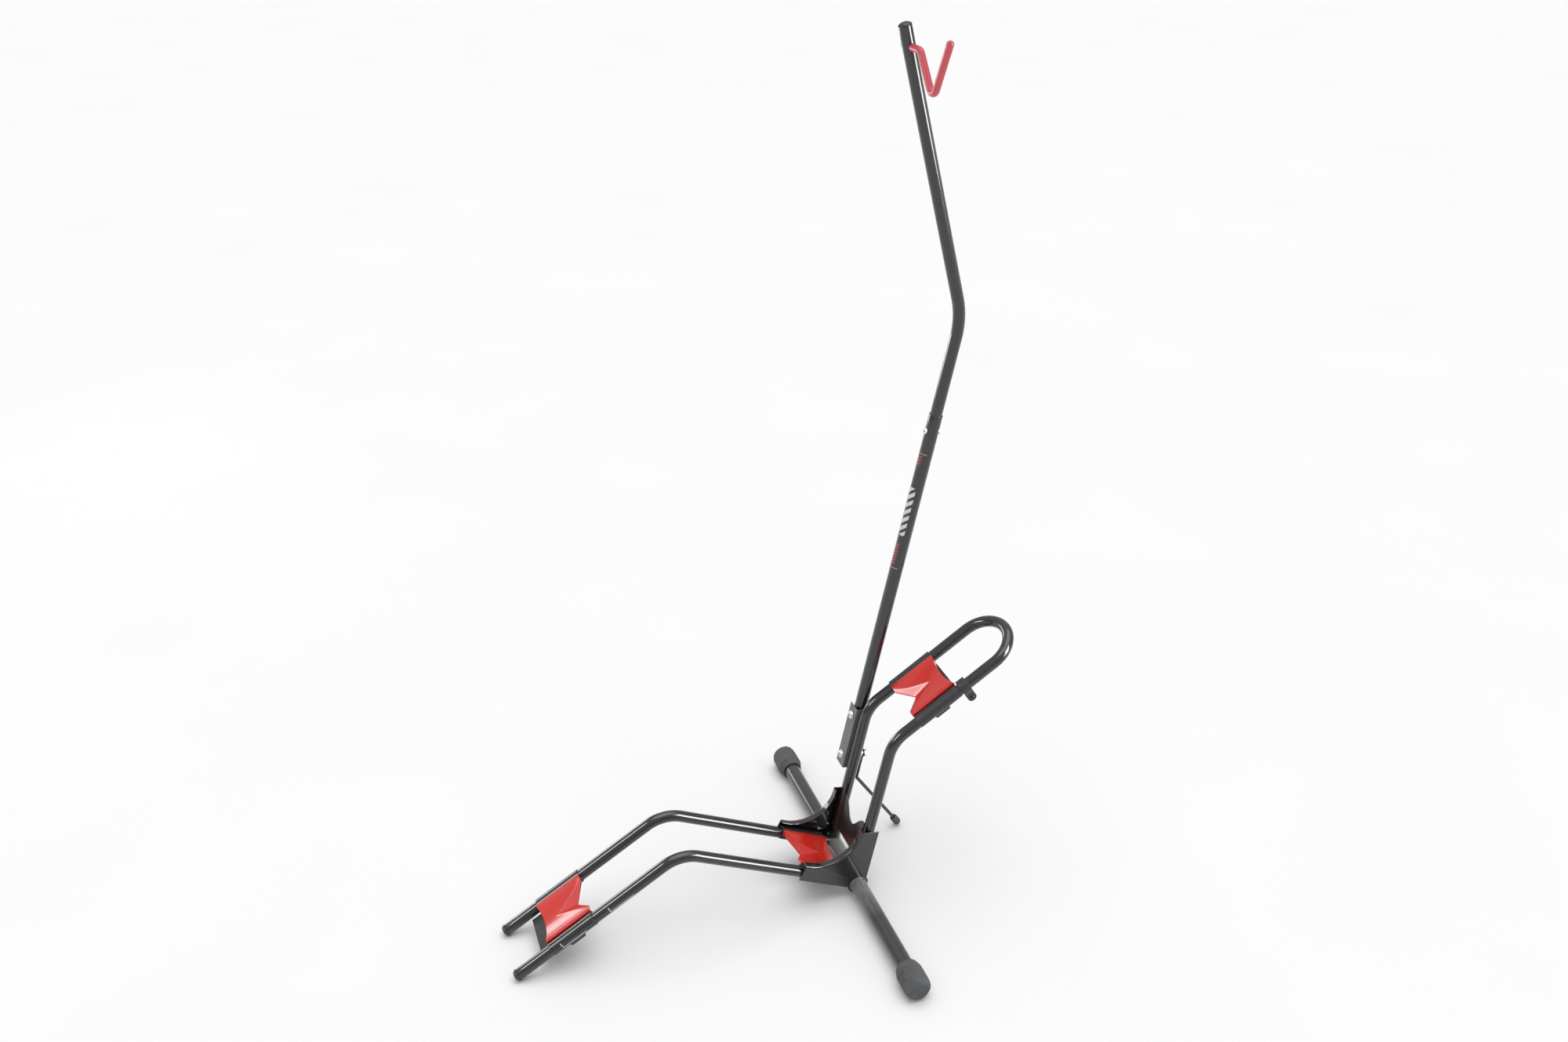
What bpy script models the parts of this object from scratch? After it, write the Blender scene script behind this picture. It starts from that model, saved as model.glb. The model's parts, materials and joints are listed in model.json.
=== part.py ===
"""Bike repair and storage stand: a wheel cradle on a cross bar, with a cranked pole and a wheel hook.

Metres, +Z up. +X runs along the wheel towards the loop, +Y from the open side towards the pole.
Each sub-part is one object. The rails, the uprights, the pole and the pads are built in frames of
their own, which are empties, so that a length along a tube is a plain number.
"""
import math

import bmesh
import bpy
from mathutils import Matrix, Vector

# ---------------------------------------------------------------- driving dimensions
BAR_X = 0.1750            # cross bar, ahead of the middle of the footprint
BAR_RADIUS = 0.0165
BAR_WALL = 0.0020
BAR_HALF = 0.3540

FOOT_RADIUS = 0.0260
FOOT_INNER = 0.3020       # inner end of a rubber foot, from the middle of the bar
FOOT_OUTER = 0.3640
FOOT_FACETS = 24
BAR_Z = FOOT_RADIUS * math.cos(math.pi / FOOT_FACETS)     # each foot stands on one facet

RAIL_RADIUS = 0.0111
RAIL_WALL = 0.0015
RAIL_Y = 0.0593           # half the distance between the two rails
BEND_RADIUS = 0.070
HUMP_X = -0.3555          # crown of the rails, from the cross bar
HUMP_Z = 0.2059
FRONT_X = -0.6731         # front end of the rails
FRONT_Z = 0.0122

LEAN = math.radians(11.85)        # uprights and pole, back from the vertical
LOOP_CORNER = 0.3310              # bar to the bend of the loop, along the upright
LOOP_PITCH = math.radians(33.5)   # the loop's wings above the horizontal
LOOP_STRAIGHT = 0.2450            # bend to the start of the round end

POLE_Y = 0.0870
POLE_RADIUS = 0.0127
POLE_WALL = 0.0014
POLE_BOTTOM = 0.1850              # along the pole, from the bar's axis
POLE_TOP = 0.9430
MAST_RADIUS = 0.0111
MAST_WALL = 0.0015
MAST_BOTTOM = 0.7800
MAST_BEND = 1.1260
MAST_BEND_RADIUS = 0.160
MAST_KICK = math.radians(26.75)   # the mast's top leans forward again
MAST_TOP = 0.5080                 # bend to the top of the tube

GAP = 0.0003                      # clearance between touching pieces
SIDES = 16                        # facets round a tube
SHEET = 0.0025                    # gusset and channel plate

CHANNEL_BOTTOM = 0.1780
CHANNEL_TOP = 0.3160
CHANNEL_INNER = 0.0132            # half the width inside
CHANNEL_WALL = 0.0022
CHANNEL_DEPTH = 0.0313
SLOT_MIDDLE = 0.2425              # slot through the channel's web, along the upright
SLOT_LENGTH = 0.0550
SLOT_WIDTH = 0.0100
BOLT_STATIONS = {"upper": 0.2950, "lower": 0.2005}
BOLT_RADIUS = 0.0035
NUT_HEIGHT = 0.0060
MAST_BOLT_RADIUS = 0.0025
MAST_BOLT_DROP = 0.0330           # mast bolt below the top of the lower pole
SPARE_HOLE = 0.3920               # unused bolt hole, one pitch higher up the pole

GUSSET_ARM = 0.1340               # length along the rail, from the bar
GUSSET_RISE = 0.1280              # length along the upright
GUSSET_UNDER = 0.0116             # plate below the rail's axis
GUSSET_BEHIND = 0.0155            # plate behind the upright's axis
GUSSET_ARC = 0.0712               # radius of the rolled lip
GUSSET_HEEL = 0.0215              # radius of the plate round the bar
LIP_TRIM = 0.0010                 # lip's ends, short of the plate's
GUSSET_LIP = 0.0143               # lip's width, inwards from the plate's outer face
LIP_INSET = 0.0235                # lip to tube axis, where the lip runs out

RIVET_OFF = 0.0165                # rivets off the tubes' axes
WEB_FRONT = 0.0060                # web plate ahead of the upright's axis
WEB_LOW = 0.0480                  # web plate's lower edge, along the upright
WEB_HIGH = 0.1310
WEB_DIP = 0.0960
WEB_SHOULDER = 0.90               # share of the half width at which the edge is level again

PAD_LENGTH = 0.1000
PAD_HALF = 0.0495
PAD_EDGE = 0.0145                 # pad's edge above the plane of the tube axes
PAD_VALLEY = 0.0080
PAD_LIP = 0.0420                  # half the width of the pad's hollow
VEE_START = -0.0200               # where the vee leaves the hollow, towards the scooped end
VEE_FALL = 0.2000                 # how fast the vee's valley drops towards the notch
VEE_SIDE = 0.5000                 # slope of the vee's two sides
PAD_NOTCH = 0.0270
PAD_MOUTH = 0.0340                # half the notch's width at the pad's end
PAD_SCOOP = 0.0080
SLEEVE_RADIUS = 0.0134
CARRIER_PLATE = 0.0030
PLATE_TOP = -0.0050               # carrier's plate below the plane of the tube axes

FRONT_PAD = 0.2470                # middle of the front pad, down the slope from the crown
BASE_PAD = 0.3170                 # middle of the base pad, from the crown towards the bar
UPPER_PAD = 0.1110                # middle of the upper pad, up the wing from the bend

CLIP_AT = 0.1720                  # strap clip on the near wing
CLIP_WIDTH = 0.0180
CLIP_RADIUS = 0.0160
CLIP_DROP = 0.0340                # hole in the clip's ear, below the wing's axis

HOOK_DOWN = 0.0330                # hook below the mast's top, along the mast
HOOK_ROD = 0.0040
HOOK_BEND = 0.0135
HOOK_SLEEVE = 0.0060

STAY_RADIUS = 0.0037
STAY_EYE = 0.0030                 # thickness of the stay's eye
STAY_FACE = 0.0320                # stay's eye behind the pole's axis
EYE_RADIUS = 0.0085
STAY_KINK = 0.1400                # along the pole, where the stay bends out
STAY_TIP = (0.1540, 0.0145)       # X from the bar, and Z, of the stay's lower end

BLACK = ((0.022, 0.023, 0.025), 0.30, 0.0)
DARK = ((0.030, 0.028, 0.027), 0.45, 0.0)
GREY_RUBBER = ((0.085, 0.087, 0.090), 0.75, 0.0)
RED = ((0.720, 0.045, 0.030), 0.28, 0.0)
CORAL = ((0.780, 0.110, 0.120), 0.45, 0.0)
ZINC = ((0.720, 0.725, 0.740), 0.28, 1.0)
MOULDED = ((0.045, 0.047, 0.050), 0.50, 0.0)


# ---------------------------------------------------------------- scene helpers
def clear_scene():
    """Remove every object that the file opened with."""
    for old in list(bpy.data.objects):
        bpy.data.objects.remove(old, do_unlink=True)


def new_collection(name):
    """Make a collection in the scene and return it."""
    made = bpy.data.collections.new(name)
    bpy.context.scene.collection.children.link(made)
    return made


def material(name, finish):
    """Return the Principled material of a finish: colour, roughness and metallic."""
    found = bpy.data.materials.get(name)
    if found:
        return found
    made = bpy.data.materials.new(name)
    made.use_nodes = True
    shader = made.node_tree.nodes["Principled BSDF"]
    shader.inputs["Base Color"].default_value = (*finish[0], 1.0)
    shader.inputs["Roughness"].default_value = finish[1]
    shader.inputs["Metallic"].default_value = finish[2]
    return made


def dress(obj, finish):
    """Give an object its own material and smooth round sides."""
    obj.data.materials.clear()
    obj.data.materials.append(material("finish_" + obj.name, finish))
    if obj.type == "MESH":
        obj.data.shade_smooth()
        obj.data.set_sharp_from_angle(angle=math.radians(35))


def place(obj, parent, location=(0, 0, 0), rotation=(0, 0, 0), into=None):
    """Link an object, hang it on a parent and set it in the parent's frame."""
    (into or PARTS).objects.link(obj)
    obj.parent = parent
    obj.location = location
    obj.rotation_euler = rotation
    bpy.context.view_layer.update()
    return obj


def frame_empty(name, parent, location, pitch=0.0):
    """Make an empty whose X runs at a pitch above the horizontal, in the X-Z plane."""
    made = bpy.data.objects.new(name, None)
    made.empty_display_size = 0.03
    return place(made, parent, location, (0, -pitch, 0))


# ---------------------------------------------------------------- shape helpers
def rounded_path(corners, radius, steps=6):
    """Return the points of a path whose inner corners are arcs of the bend radius."""
    points = [Vector(corners[0])]
    for index in range(1, len(corners) - 1):
        corner = Vector(corners[index])
        into = (corner - Vector(corners[index - 1])).normalized()
        out = (Vector(corners[index + 1]) - corner).normalized()
        turn = into.angle(out)
        start = corner - into * radius * math.tan(turn / 2)
        normal = (out - into * out.dot(into)).normalized()
        for step in range(steps + 1):
            angle = turn * step / steps
            ahead = into * radius * math.sin(angle)
            points.append(start + ahead + normal * radius * (1 - math.cos(angle)))
    points.append(Vector(corners[-1]))
    return points


def curve_object(name, splines, radius=0.0, sides=SIDES, caps=True):
    """Return an unlinked curve object of POLY splines with a round bevel."""
    data = bpy.data.curves.new(name, "CURVE")
    data.dimensions = "3D"
    data.bevel_depth = radius
    data.bevel_resolution = (sides - 4) // 2
    data.use_fill_caps = caps
    for points in splines:
        spline = data.splines.new("POLY")
        spline.points.add(len(points) - 1)
        for slot, point in zip(spline.points, points):
            slot.co = (*point, 1.0)
    return bpy.data.objects.new(name, data)


def curve_to_mesh(obj, parent, location=(0, 0, 0), rotation=(0, 0, 0)):
    """Turn a placed curve into a welded mesh object of the same name and place."""
    place(obj, parent, location, rotation)
    name = obj.name
    graph = bpy.context.evaluated_depsgraph_get()
    mesh = bpy.data.meshes.new_from_object(obj.evaluated_get(graph))
    world = obj.matrix_world.copy()
    source = obj.data
    bpy.data.objects.remove(obj, do_unlink=True)
    bpy.data.curves.remove(source)
    shape = bmesh.new()
    shape.from_mesh(mesh)
    bmesh.ops.remove_doubles(shape, verts=shape.verts, dist=1e-6)
    bmesh.ops.recalc_face_normals(shape, faces=shape.faces)
    shape.to_mesh(mesh)
    shape.free()
    mesh.name = name
    made = bpy.data.objects.new(name, mesh)
    PARTS.objects.link(made)
    made.parent = parent
    made.matrix_world = world
    bpy.context.view_layer.update()
    return made


def solid_bar(name, points, radius, parent, sides=SIDES):
    """Return a solid round bar along a path, as a mesh."""
    return curve_to_mesh(curve_object(name, [points], radius, sides), parent)


def hollow_tube(name, points, radius, wall, parent, sides=SIDES):
    """Return an open-ended tube along a path: a skin with a wall grown inwards."""
    skin = curve_to_mesh(curve_object(name, [points], radius, sides, caps=False), parent)
    grow = skin.modifiers.new("wall", "SOLIDIFY")
    grow.thickness = wall
    grow.offset = -1.0
    grow.use_even_offset = True
    return skin


def outline_plate(name, outlines, thickness, parent, location=(0, 0, 0), rotation=(0, 0, 0)):
    """Return a flat plate: closed 2D outlines, filled and extruded by half each way."""
    data = bpy.data.curves.new(name, "CURVE")
    data.dimensions = "2D"
    data.fill_mode = "BOTH"
    data.extrude = thickness / 2
    for outline in outlines:
        spline = data.splines.new("POLY")
        spline.points.add(len(outline) - 1)
        for slot, point in zip(spline.points, outline):
            slot.co = (point[0], point[1], 0.0, 1.0)
        spline.use_cyclic_u = True
    return curve_to_mesh(bpy.data.objects.new(name, data), parent, location, rotation)


def turned(name, profile, parent, location=(0, 0, 0), rotation=(0, 0, 0), steps=SIDES):
    """Return a turned solid: a profile of (radius, height) carried round Z by Screw."""
    mesh = bpy.data.meshes.new(name)
    points = [(radius, 0.0, height) for radius, height in profile]
    mesh.from_pydata(points, [(i, i + 1) for i in range(len(points) - 1)], [])
    made = place(bpy.data.objects.new(name, mesh), parent, location, rotation)
    screw = made.modifiers.new("turn", "SCREW")
    screw.axis = "Z"
    screw.steps = steps
    screw.render_steps = steps
    screw.use_merge_vertices = True
    screw.merge_threshold = 1e-5
    screw.use_smooth_shade = True
    return made


def cylinder(name, radius, depth, parent, location, rotation=(0, 0, 0), sides=SIDES, into=None):
    """Return a capped cylinder whose axis is the local Z."""
    mesh = bpy.data.meshes.new(name)
    shape = bmesh.new()
    bmesh.ops.create_cone(shape, cap_ends=True, segments=sides, radius1=radius, radius2=radius,
                          depth=depth)
    shape.to_mesh(mesh)
    shape.free()
    return place(bpy.data.objects.new(name, mesh), parent, location, rotation, into)


def box(name, size, parent, location, rotation=(0, 0, 0), into=None):
    """Return a box of full sizes X, Y and Z."""
    mesh = bpy.data.meshes.new(name)
    shape = bmesh.new()
    bmesh.ops.create_cube(shape, size=1.0, matrix=Matrix.Diagonal((*size, 1.0)))
    shape.to_mesh(mesh)
    shape.free()
    return place(bpy.data.objects.new(name, mesh), parent, location, rotation, into)


def cutter(obj):
    """Mark an object as a cutter: in the cutters' collection, wired and not rendered."""
    for home in list(obj.users_collection):
        home.objects.unlink(obj)
    CUTTERS.objects.link(obj)
    obj.hide_render = True
    obj.display_type = "WIRE"
    return obj


def boolean(target, tool, operation="DIFFERENCE"):
    """Add an exact boolean of a tool to a target."""
    step = target.modifiers.new(operation.lower(), "BOOLEAN")
    step.operation = operation
    step.solver = "EXACT"
    step.object = cutter(tool)


ALONG_Y = (math.radians(-90), 0, 0)       # local Z to world +Y
ALONG_MINUS_Y = (math.radians(90), 0, 0)
ALONG_X = (0, math.radians(90), 0)        # local Z to +X
ALONG_MINUS_X = (0, math.radians(-90), 0)
UPRIGHT = (math.radians(90), 0, 0)        # a plate drawn in X-Y stands in X-Z
SECTION_ALONG_X = (math.radians(90), 0, math.radians(90))    # drawn in Y-Z, extruded along X


# ---------------------------------------------------------------- base
def build_bar(root):
    """The cross bar, and a ribbed rubber foot on each end."""
    bar = hollow_tube("cross_bar", [(0, -BAR_HALF, BAR_Z), (0, BAR_HALF, BAR_Z)], BAR_RADIUS,
                      BAR_WALL, root, sides=24)
    dress(bar, BLACK)
    length = FOOT_OUTER - FOOT_INNER
    bore = BAR_RADIUS + GAP
    seat = BAR_HALF + GAP - FOOT_INNER
    profile = [(0.0, length), (FOOT_RADIUS - 0.009, length), (FOOT_RADIUS - 0.003, length - 0.003),
               (FOOT_RADIUS, length - 0.010), (FOOT_RADIUS, 0.012), (FOOT_RADIUS - 0.0025, 0.011),
               (FOOT_RADIUS - 0.0025, 0.003), (FOOT_RADIUS - 0.0045, 0.0), (bore, 0.0), (bore, seat),
               (0.0, seat)]
    for side, sign in (("near", -1), ("far", 1)):
        turn = (math.radians(-90 * sign), math.pi / FOOT_FACETS, 0)
        foot = turned("rubber_foot_" + side, profile, root, (0, sign * FOOT_INNER, BAR_Z), turn,
                      FOOT_FACETS)
        dress(foot, GREY_RUBBER)


def bar_clearance(name, parent):
    """A cutter the size of the cross bar and its gap."""
    return cylinder(name, BAR_RADIUS + GAP, 0.30, parent, (0, 0, BAR_Z), ALONG_Y, 24)


def build_rails(root, slope, post):
    """Two bent rails, from the floor over the crown to the cross bar, with end caps."""
    for side, sign in (("near", -1), ("far", 1)):
        y = sign * RAIL_Y
        corners = [(FRONT_X, y, FRONT_Z), (HUMP_X, y, HUMP_Z), (0, y, BAR_Z)]
        rail = hollow_tube("rail_" + side, rounded_path(corners, BEND_RADIUS), RAIL_RADIUS,
                           RAIL_WALL, root)
        boolean(rail, bar_clearance("cut_rail_bar_" + side, root))
        boolean(rail, cylinder("cut_rail_post_" + side, RAIL_RADIUS + GAP, 0.120, post,
                               (0.060, y, 0), ALONG_X, SIDES))
        dress(rail, BLACK)
        build_end_cap(side, slope, y)


def build_end_cap(side, slope, y):
    """A plug with a rounded head in the rail's front end."""
    stem = RAIL_RADIUS - RAIL_WALL - GAP
    rim = RAIL_RADIUS + 0.0006
    profile = [(0.0, 0.0090), (0.0060, 0.0084), (0.0100, 0.0066), (rim, 0.0035), (rim, 0.0),
               (stem, 0.0), (stem, -0.0180), (0.0, -0.0180)]
    end = -math.hypot(HUMP_X - FRONT_X, HUMP_Z - FRONT_Z) - GAP
    cap = turned("rail_end_cap_" + side, profile, slope, (end, y, 0), ALONG_MINUS_X)
    dress(cap, MOULDED)


def build_loop(root):
    """One tube: up the near side, round the loop's end and down the far side."""
    foot = Vector((0, -RAIL_Y, BAR_Z))
    up = Vector((math.sin(LEAN), 0, math.cos(LEAN)))
    along = Vector((math.cos(LOOP_PITCH), 0, math.sin(LOOP_PITCH)))
    corner = foot + up * LOOP_CORNER
    start = corner + along * LOOP_STRAIGHT
    near = rounded_path([foot, corner, start], BEND_RADIUS)
    steps = 14
    across = Vector((0, 1, 0))
    centre = start + across * RAIL_Y
    turn = []
    for step in range(1, steps):
        angle = math.pi * step / steps
        turn.append(centre - across * RAIL_Y * math.cos(angle) + along * RAIL_Y * math.sin(angle))
    far = [Vector((p.x, -p.y, p.z)) for p in reversed(near)]
    loop = hollow_tube("wheel_loop", near + turn + far, RAIL_RADIUS, RAIL_WALL, root)
    boolean(loop, bar_clearance("cut_loop", root))
    dress(loop, BLACK)


# ---------------------------------------------------------------- gussets and web
def arc_points(centre, radius, first, last, steps):
    """Return points of an arc in a plane, from one angle to another."""
    angles = [first + (last - first) * step / steps for step in range(steps + 1)]
    return [centre + radius * Vector((math.cos(a), math.sin(a))) for a in angles]


def corner_axes():
    """Return unit vectors in X-Z: along the rail, off the rail, along the upright, off it."""
    down = math.atan2(HUMP_Z - BAR_Z, -HUMP_X)
    rail = Vector((-math.cos(down), math.sin(down)))
    rail_up = Vector((math.sin(down), math.cos(down)))
    post = Vector((math.sin(LEAN), math.cos(LEAN)))
    front = Vector((-math.cos(LEAN), math.sin(LEAN)))
    return rail, rail_up, post, front


def gusset_points():
    """Return the gusset's plate outline and the line of its lip, as X-Z points about the bar."""
    rail, rail_up, post, front = corner_axes()
    inset = LIP_INSET + GUSSET_ARC
    turn = rail_up.x * front.y - rail_up.y * front.x
    centre = Vector((inset * (front.y - rail_up.y), inset * (rail_up.x - front.x))) / turn
    arc = arc_points(centre, GUSSET_ARC, math.atan2(-rail_up.y, -rail_up.x),
                     math.atan2(-front.y, -front.x), 12)
    high = rail * GUSSET_ARM + rail_up * LIP_INSET
    low = rail * GUSSET_ARM - rail_up * GUSSET_UNDER
    top_front = post * GUSSET_RISE + front * LIP_INSET
    top_back = post * GUSSET_RISE - front * GUSSET_BEHIND
    heel_in = rail * math.sqrt(GUSSET_HEEL ** 2 - GUSSET_UNDER ** 2) - rail_up * GUSSET_UNDER
    heel_out = post * math.sqrt(GUSSET_HEEL ** 2 - GUSSET_BEHIND ** 2) - front * GUSSET_BEHIND
    heel = arc_points(Vector((0, 0)), GUSSET_HEEL, math.atan2(heel_in.y, heel_in.x),
                      math.atan2(heel_out.y, heel_out.x), 12)
    outline = [low] + heel + [top_back, top_front] + arc[::-1] + [high]
    return outline, [high - rail * LIP_TRIM] + arc + [top_front - post * LIP_TRIM]


def build_gussets(root):
    """A plate outside each corner, with a lip rolled inwards along its hollow edge."""
    outline, line = gusset_points()
    edges = {GAP: [], GAP + SHEET: []}
    for index, point in enumerate(line):
        before = line[max(index - 1, 0)]
        after = line[min(index + 1, len(line) - 1)]
        tangent = (after - before).normalized()
        for inset, edge in edges.items():
            edge.append(point + inset * Vector((tangent.y, -tangent.x)))
    band = edges[GAP] + edges[GAP + SHEET][::-1]
    for side, sign in (("near", -1), ("far", 1)):
        outer = RAIL_Y + RAIL_RADIUS + GAP + SHEET
        plate = outline_plate("gusset_" + side, [outline], SHEET, root,
                              (0, sign * (outer - SHEET / 2), BAR_Z), UPRIGHT)
        width = GUSSET_LIP - GAP
        lip = outline_plate("join_lip_" + side, [band], width, root,
                            (0, sign * (outer - GAP - width / 2), BAR_Z), UPRIGHT)
        boolean(plate, lip, "UNION")
        boolean(plate, bar_clearance("cut_gusset_" + side, root))
        dress(plate, BLACK)


def build_web(post):
    """A saddle-topped plate between the uprights."""
    half = RAIL_Y - RAIL_RADIUS - GAP
    steps = 12
    outline = [(WEB_LOW, -half), (WEB_LOW, half)]
    for step in range(steps + 1):
        y = half - 2 * half * step / steps
        share = min(abs(y) / (WEB_SHOULDER * half), 1.0)
        rise = 0.5 - 0.5 * math.cos(math.pi * share)
        outline.append((WEB_DIP + (WEB_HIGH - WEB_DIP) * rise, y))
    web = outline_plate("web_plate", [outline], SHEET, post, (0, 0, WEB_FRONT))
    dress(web, DARK)


def rivet_profile(radius, rise):
    """Return a domed rivet head's profile, flat face at zero."""
    return [(0.0, rise), (radius * 0.55, rise * 0.85), (radius, 0.0), (0.0, 0.0)]


def build_rivets(root):
    """Small domed rivets inside the gussets, along the rail and the upright."""
    rail, rail_up, post, front = corner_axes()
    spots = [rail * 0.106 + rail_up * RIVET_OFF, rail * 0.040 + rail_up * RIVET_OFF,
             post * 0.038 + front * RIVET_OFF, post * 0.104 + front * RIVET_OFF]
    for side, sign in (("near", -1), ("far", 1)):
        face = sign * (RAIL_Y + RAIL_RADIUS)
        turn = ALONG_MINUS_Y if sign > 0 else ALONG_Y
        for number, spot in enumerate(spots, 1):
            rivet = turned("rivet_%s_%d" % (side, number), rivet_profile(0.0028, 0.0014), root,
                           (spot.x, face, BAR_Z + spot.y), turn, 10)
            dress(rivet, ZINC)


# ---------------------------------------------------------------- pole
def build_channel(post):
    """The folded channel on the far upright that the pole stands in."""
    web_in = RAIL_Y + RAIL_RADIUS + GAP
    inner = CHANNEL_INNER
    outer = inner + CHANNEL_WALL
    back = web_in + SHEET
    far = web_in + CHANNEL_DEPTH
    outline = [(-outer, web_in), (outer, web_in), (outer, far), (inner, far), (inner, back),
               (-inner, back), (-inner, far), (-outer, far)]
    middle = (CHANNEL_TOP + CHANNEL_BOTTOM) / 2
    channel = outline_plate("pole_channel", [outline], CHANNEL_TOP - CHANNEL_BOTTOM, post,
                            (middle, 0, 0), ALONG_X)
    for key, station in BOLT_STATIONS.items():
        hole = cylinder("cut_channel_" + key, BOLT_RADIUS + GAP, 0.050, post, (station, POLE_Y, 0),
                        (0, 0, 0), 12)
        boolean(channel, hole)
    slot = box("cut_channel_slot", (SLOT_LENGTH, 0.010, SLOT_WIDTH), post,
               (SLOT_MIDDLE, web_in + SHEET / 2, 0))
    boolean(channel, slot)
    dress(channel, BLACK)


def bolt_profile(head, head_height, shank, length):
    """Return a pan-headed bolt's profile: head above zero, shank below."""
    return [(0.0, head_height), (head * 0.55, head_height * 0.92), (head * 0.92, head_height * 0.45),
            (head, 0.0), (shank, 0.0), (shank, -length), (0.0, -length)]


def hex_nut(name, across, bore, height, parent, location, rotation):
    """Return a hexagonal nut: an outline with a round hole, extruded."""
    radius = across / math.sqrt(3)
    hexagon = [(radius * math.cos(math.pi * k / 3), radius * math.sin(math.pi * k / 3))
               for k in range(6)]
    hole = [(bore * math.cos(-math.pi * k / 6), bore * math.sin(-math.pi * k / 6))
            for k in range(12)]
    nut = outline_plate(name, [hexagon, hole], height, parent, location, rotation)
    dress(nut, ZINC)
    return nut


def build_channel_bolts(post):
    """Two through bolts that clamp the pole in its channel; the lower one also carries the stay."""
    seat = CHANNEL_INNER + CHANNEL_WALL + GAP
    back = STAY_FACE + STAY_EYE / 2 + GAP
    for key, face in (("upper", seat), ("lower", back)):
        station = BOLT_STATIONS[key]
        shank = seat + face + NUT_HEIGHT + 0.0025
        bolt = turned("channel_bolt_" + key, bolt_profile(0.0088, 0.0048, BOLT_RADIUS, shank), post,
                      (station, POLE_Y, seat), (0, 0, 0), 16)
        dress(bolt, ZINC)
        hex_nut("channel_nut_" + key, 0.0125, BOLT_RADIUS + GAP, NUT_HEIGHT, post,
                (station, POLE_Y, -face - NUT_HEIGHT / 2), (0, 0, 0))
    length = STAY_FACE - STAY_EYE / 2 - GAP - seat
    bore = BOLT_RADIUS + GAP
    profile = [(bore, length), (0.0062, length), (0.0062, 0.0), (bore, 0.0), (bore, length)]
    spacer = turned("stay_spacer", profile, post, (BOLT_STATIONS["lower"], POLE_Y, -seat - length),
                    (0, 0, 0), 16)
    dress(spacer, ZINC)


def build_pole(post):
    """The lower pole, drilled for its bolts and for the mast's."""
    pole = hollow_tube("lower_pole", [(POLE_BOTTOM, POLE_Y, 0), (POLE_TOP, POLE_Y, 0)], POLE_RADIUS,
                       POLE_WALL, post, sides=20)
    holes = [(station, BOLT_RADIUS + GAP) for station in (*BOLT_STATIONS.values(), SPARE_HOLE)]
    holes.append((POLE_TOP - MAST_BOLT_DROP, MAST_BOLT_RADIUS + GAP))
    for number, (station, radius) in enumerate(holes, 1):
        boolean(pole, cylinder("cut_pole_%d" % number, radius, 0.050, post, (station, POLE_Y, 0),
                               (0, 0, 0), 12))
    dress(pole, BLACK)


def build_mast(post, mast_frame):
    """The cranked mast, bolted in the pole's top end, with a plug in its own."""
    reach = Vector((math.cos(MAST_KICK), 0, math.sin(MAST_KICK))) * MAST_TOP
    bend = Vector((MAST_BEND, POLE_Y, 0))
    corners = [(MAST_BOTTOM, POLE_Y, 0), bend, bend + reach]
    mast = hollow_tube("mast", rounded_path(corners, MAST_BEND_RADIUS, 8), MAST_RADIUS, MAST_WALL,
                       post, sides=20)
    cross = POLE_TOP - MAST_BOLT_DROP
    boolean(mast, cylinder("cut_mast_bolt", MAST_BOLT_RADIUS + GAP, 0.050, post,
                           (cross, POLE_Y, 0), (0, 0, 0), 12))
    boolean(mast, cylinder("cut_mast_hook", HOOK_ROD + GAP, 0.060, mast_frame,
                           (-HOOK_DOWN, 0, 0), ALONG_Y, 12))
    dress(mast, BLACK)

    height = 0.0050
    bolt = turned("mast_bolt", bolt_profile(0.0062, 0.0036, MAST_BOLT_RADIUS,
                                            2 * POLE_RADIUS + 2 * GAP + height + 0.0015), post,
                  (cross, POLE_Y, POLE_RADIUS + GAP), (0, 0, 0), 12)
    dress(bolt, ZINC)
    hex_nut("mast_nut", 0.0085, MAST_BOLT_RADIUS + GAP, height, post,
            (cross, POLE_Y, -POLE_RADIUS - GAP - height / 2), (0, 0, 0))

    stem = MAST_RADIUS - MAST_WALL - GAP
    plug = [(0.0, 0.0046), (0.0060, 0.0040), (0.0098, 0.0022), (MAST_RADIUS, 0.0006),
            (MAST_RADIUS, GAP), (stem, GAP), (stem, -0.016), (0.0, -0.016)]
    dress(turned("mast_plug", plug, mast_frame, (0, 0, 0), ALONG_X), MOULDED)


def build_hook(mast_frame):
    """A steel rod through the mast, bent to a V across the wheel, with a soft sleeve and a nut."""
    lean = LEAN - MAST_KICK
    rise = Vector((math.cos(lean), 0, math.sin(lean)))
    across = Vector((0, -1, 0))
    start = Vector((-HOOK_DOWN, 0, 0))
    elbow = start + across * (POLE_Y - 0.0455)
    valley = start + across * (POLE_Y + 0.0060) - rise * 0.0650
    tip = start + across * (POLE_Y + 0.0545) + rise * 0.0262
    onward = (tip - valley).normalized()
    begin = start - across * (MAST_RADIUS + 0.0095)
    rod = solid_bar("hook_rod", rounded_path([begin, elbow, valley, tip], HOOK_BEND, 5), HOOK_ROD,
                    mast_frame, 12)
    dress(rod, ZINC)
    mouth = start + across * (MAST_RADIUS + GAP)
    cover = [mouth, elbow, valley, tip + onward * 0.0025]
    sleeve = solid_bar("hook_sleeve", rounded_path(cover, HOOK_BEND, 5), HOOK_SLEEVE, mast_frame, 12)
    bore = [start, elbow, valley, tip + onward * GAP]
    boolean(sleeve, solid_bar("cut_hook_sleeve", rounded_path(bore, HOOK_BEND, 5), HOOK_ROD + GAP,
                              mast_frame, 12))
    dress(sleeve, CORAL)
    hex_nut("hook_nut", 0.0130, HOOK_ROD + GAP, NUT_HEIGHT, mast_frame,
            start - across * (MAST_RADIUS + GAP + NUT_HEIGHT / 2), ALONG_Y)


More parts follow.
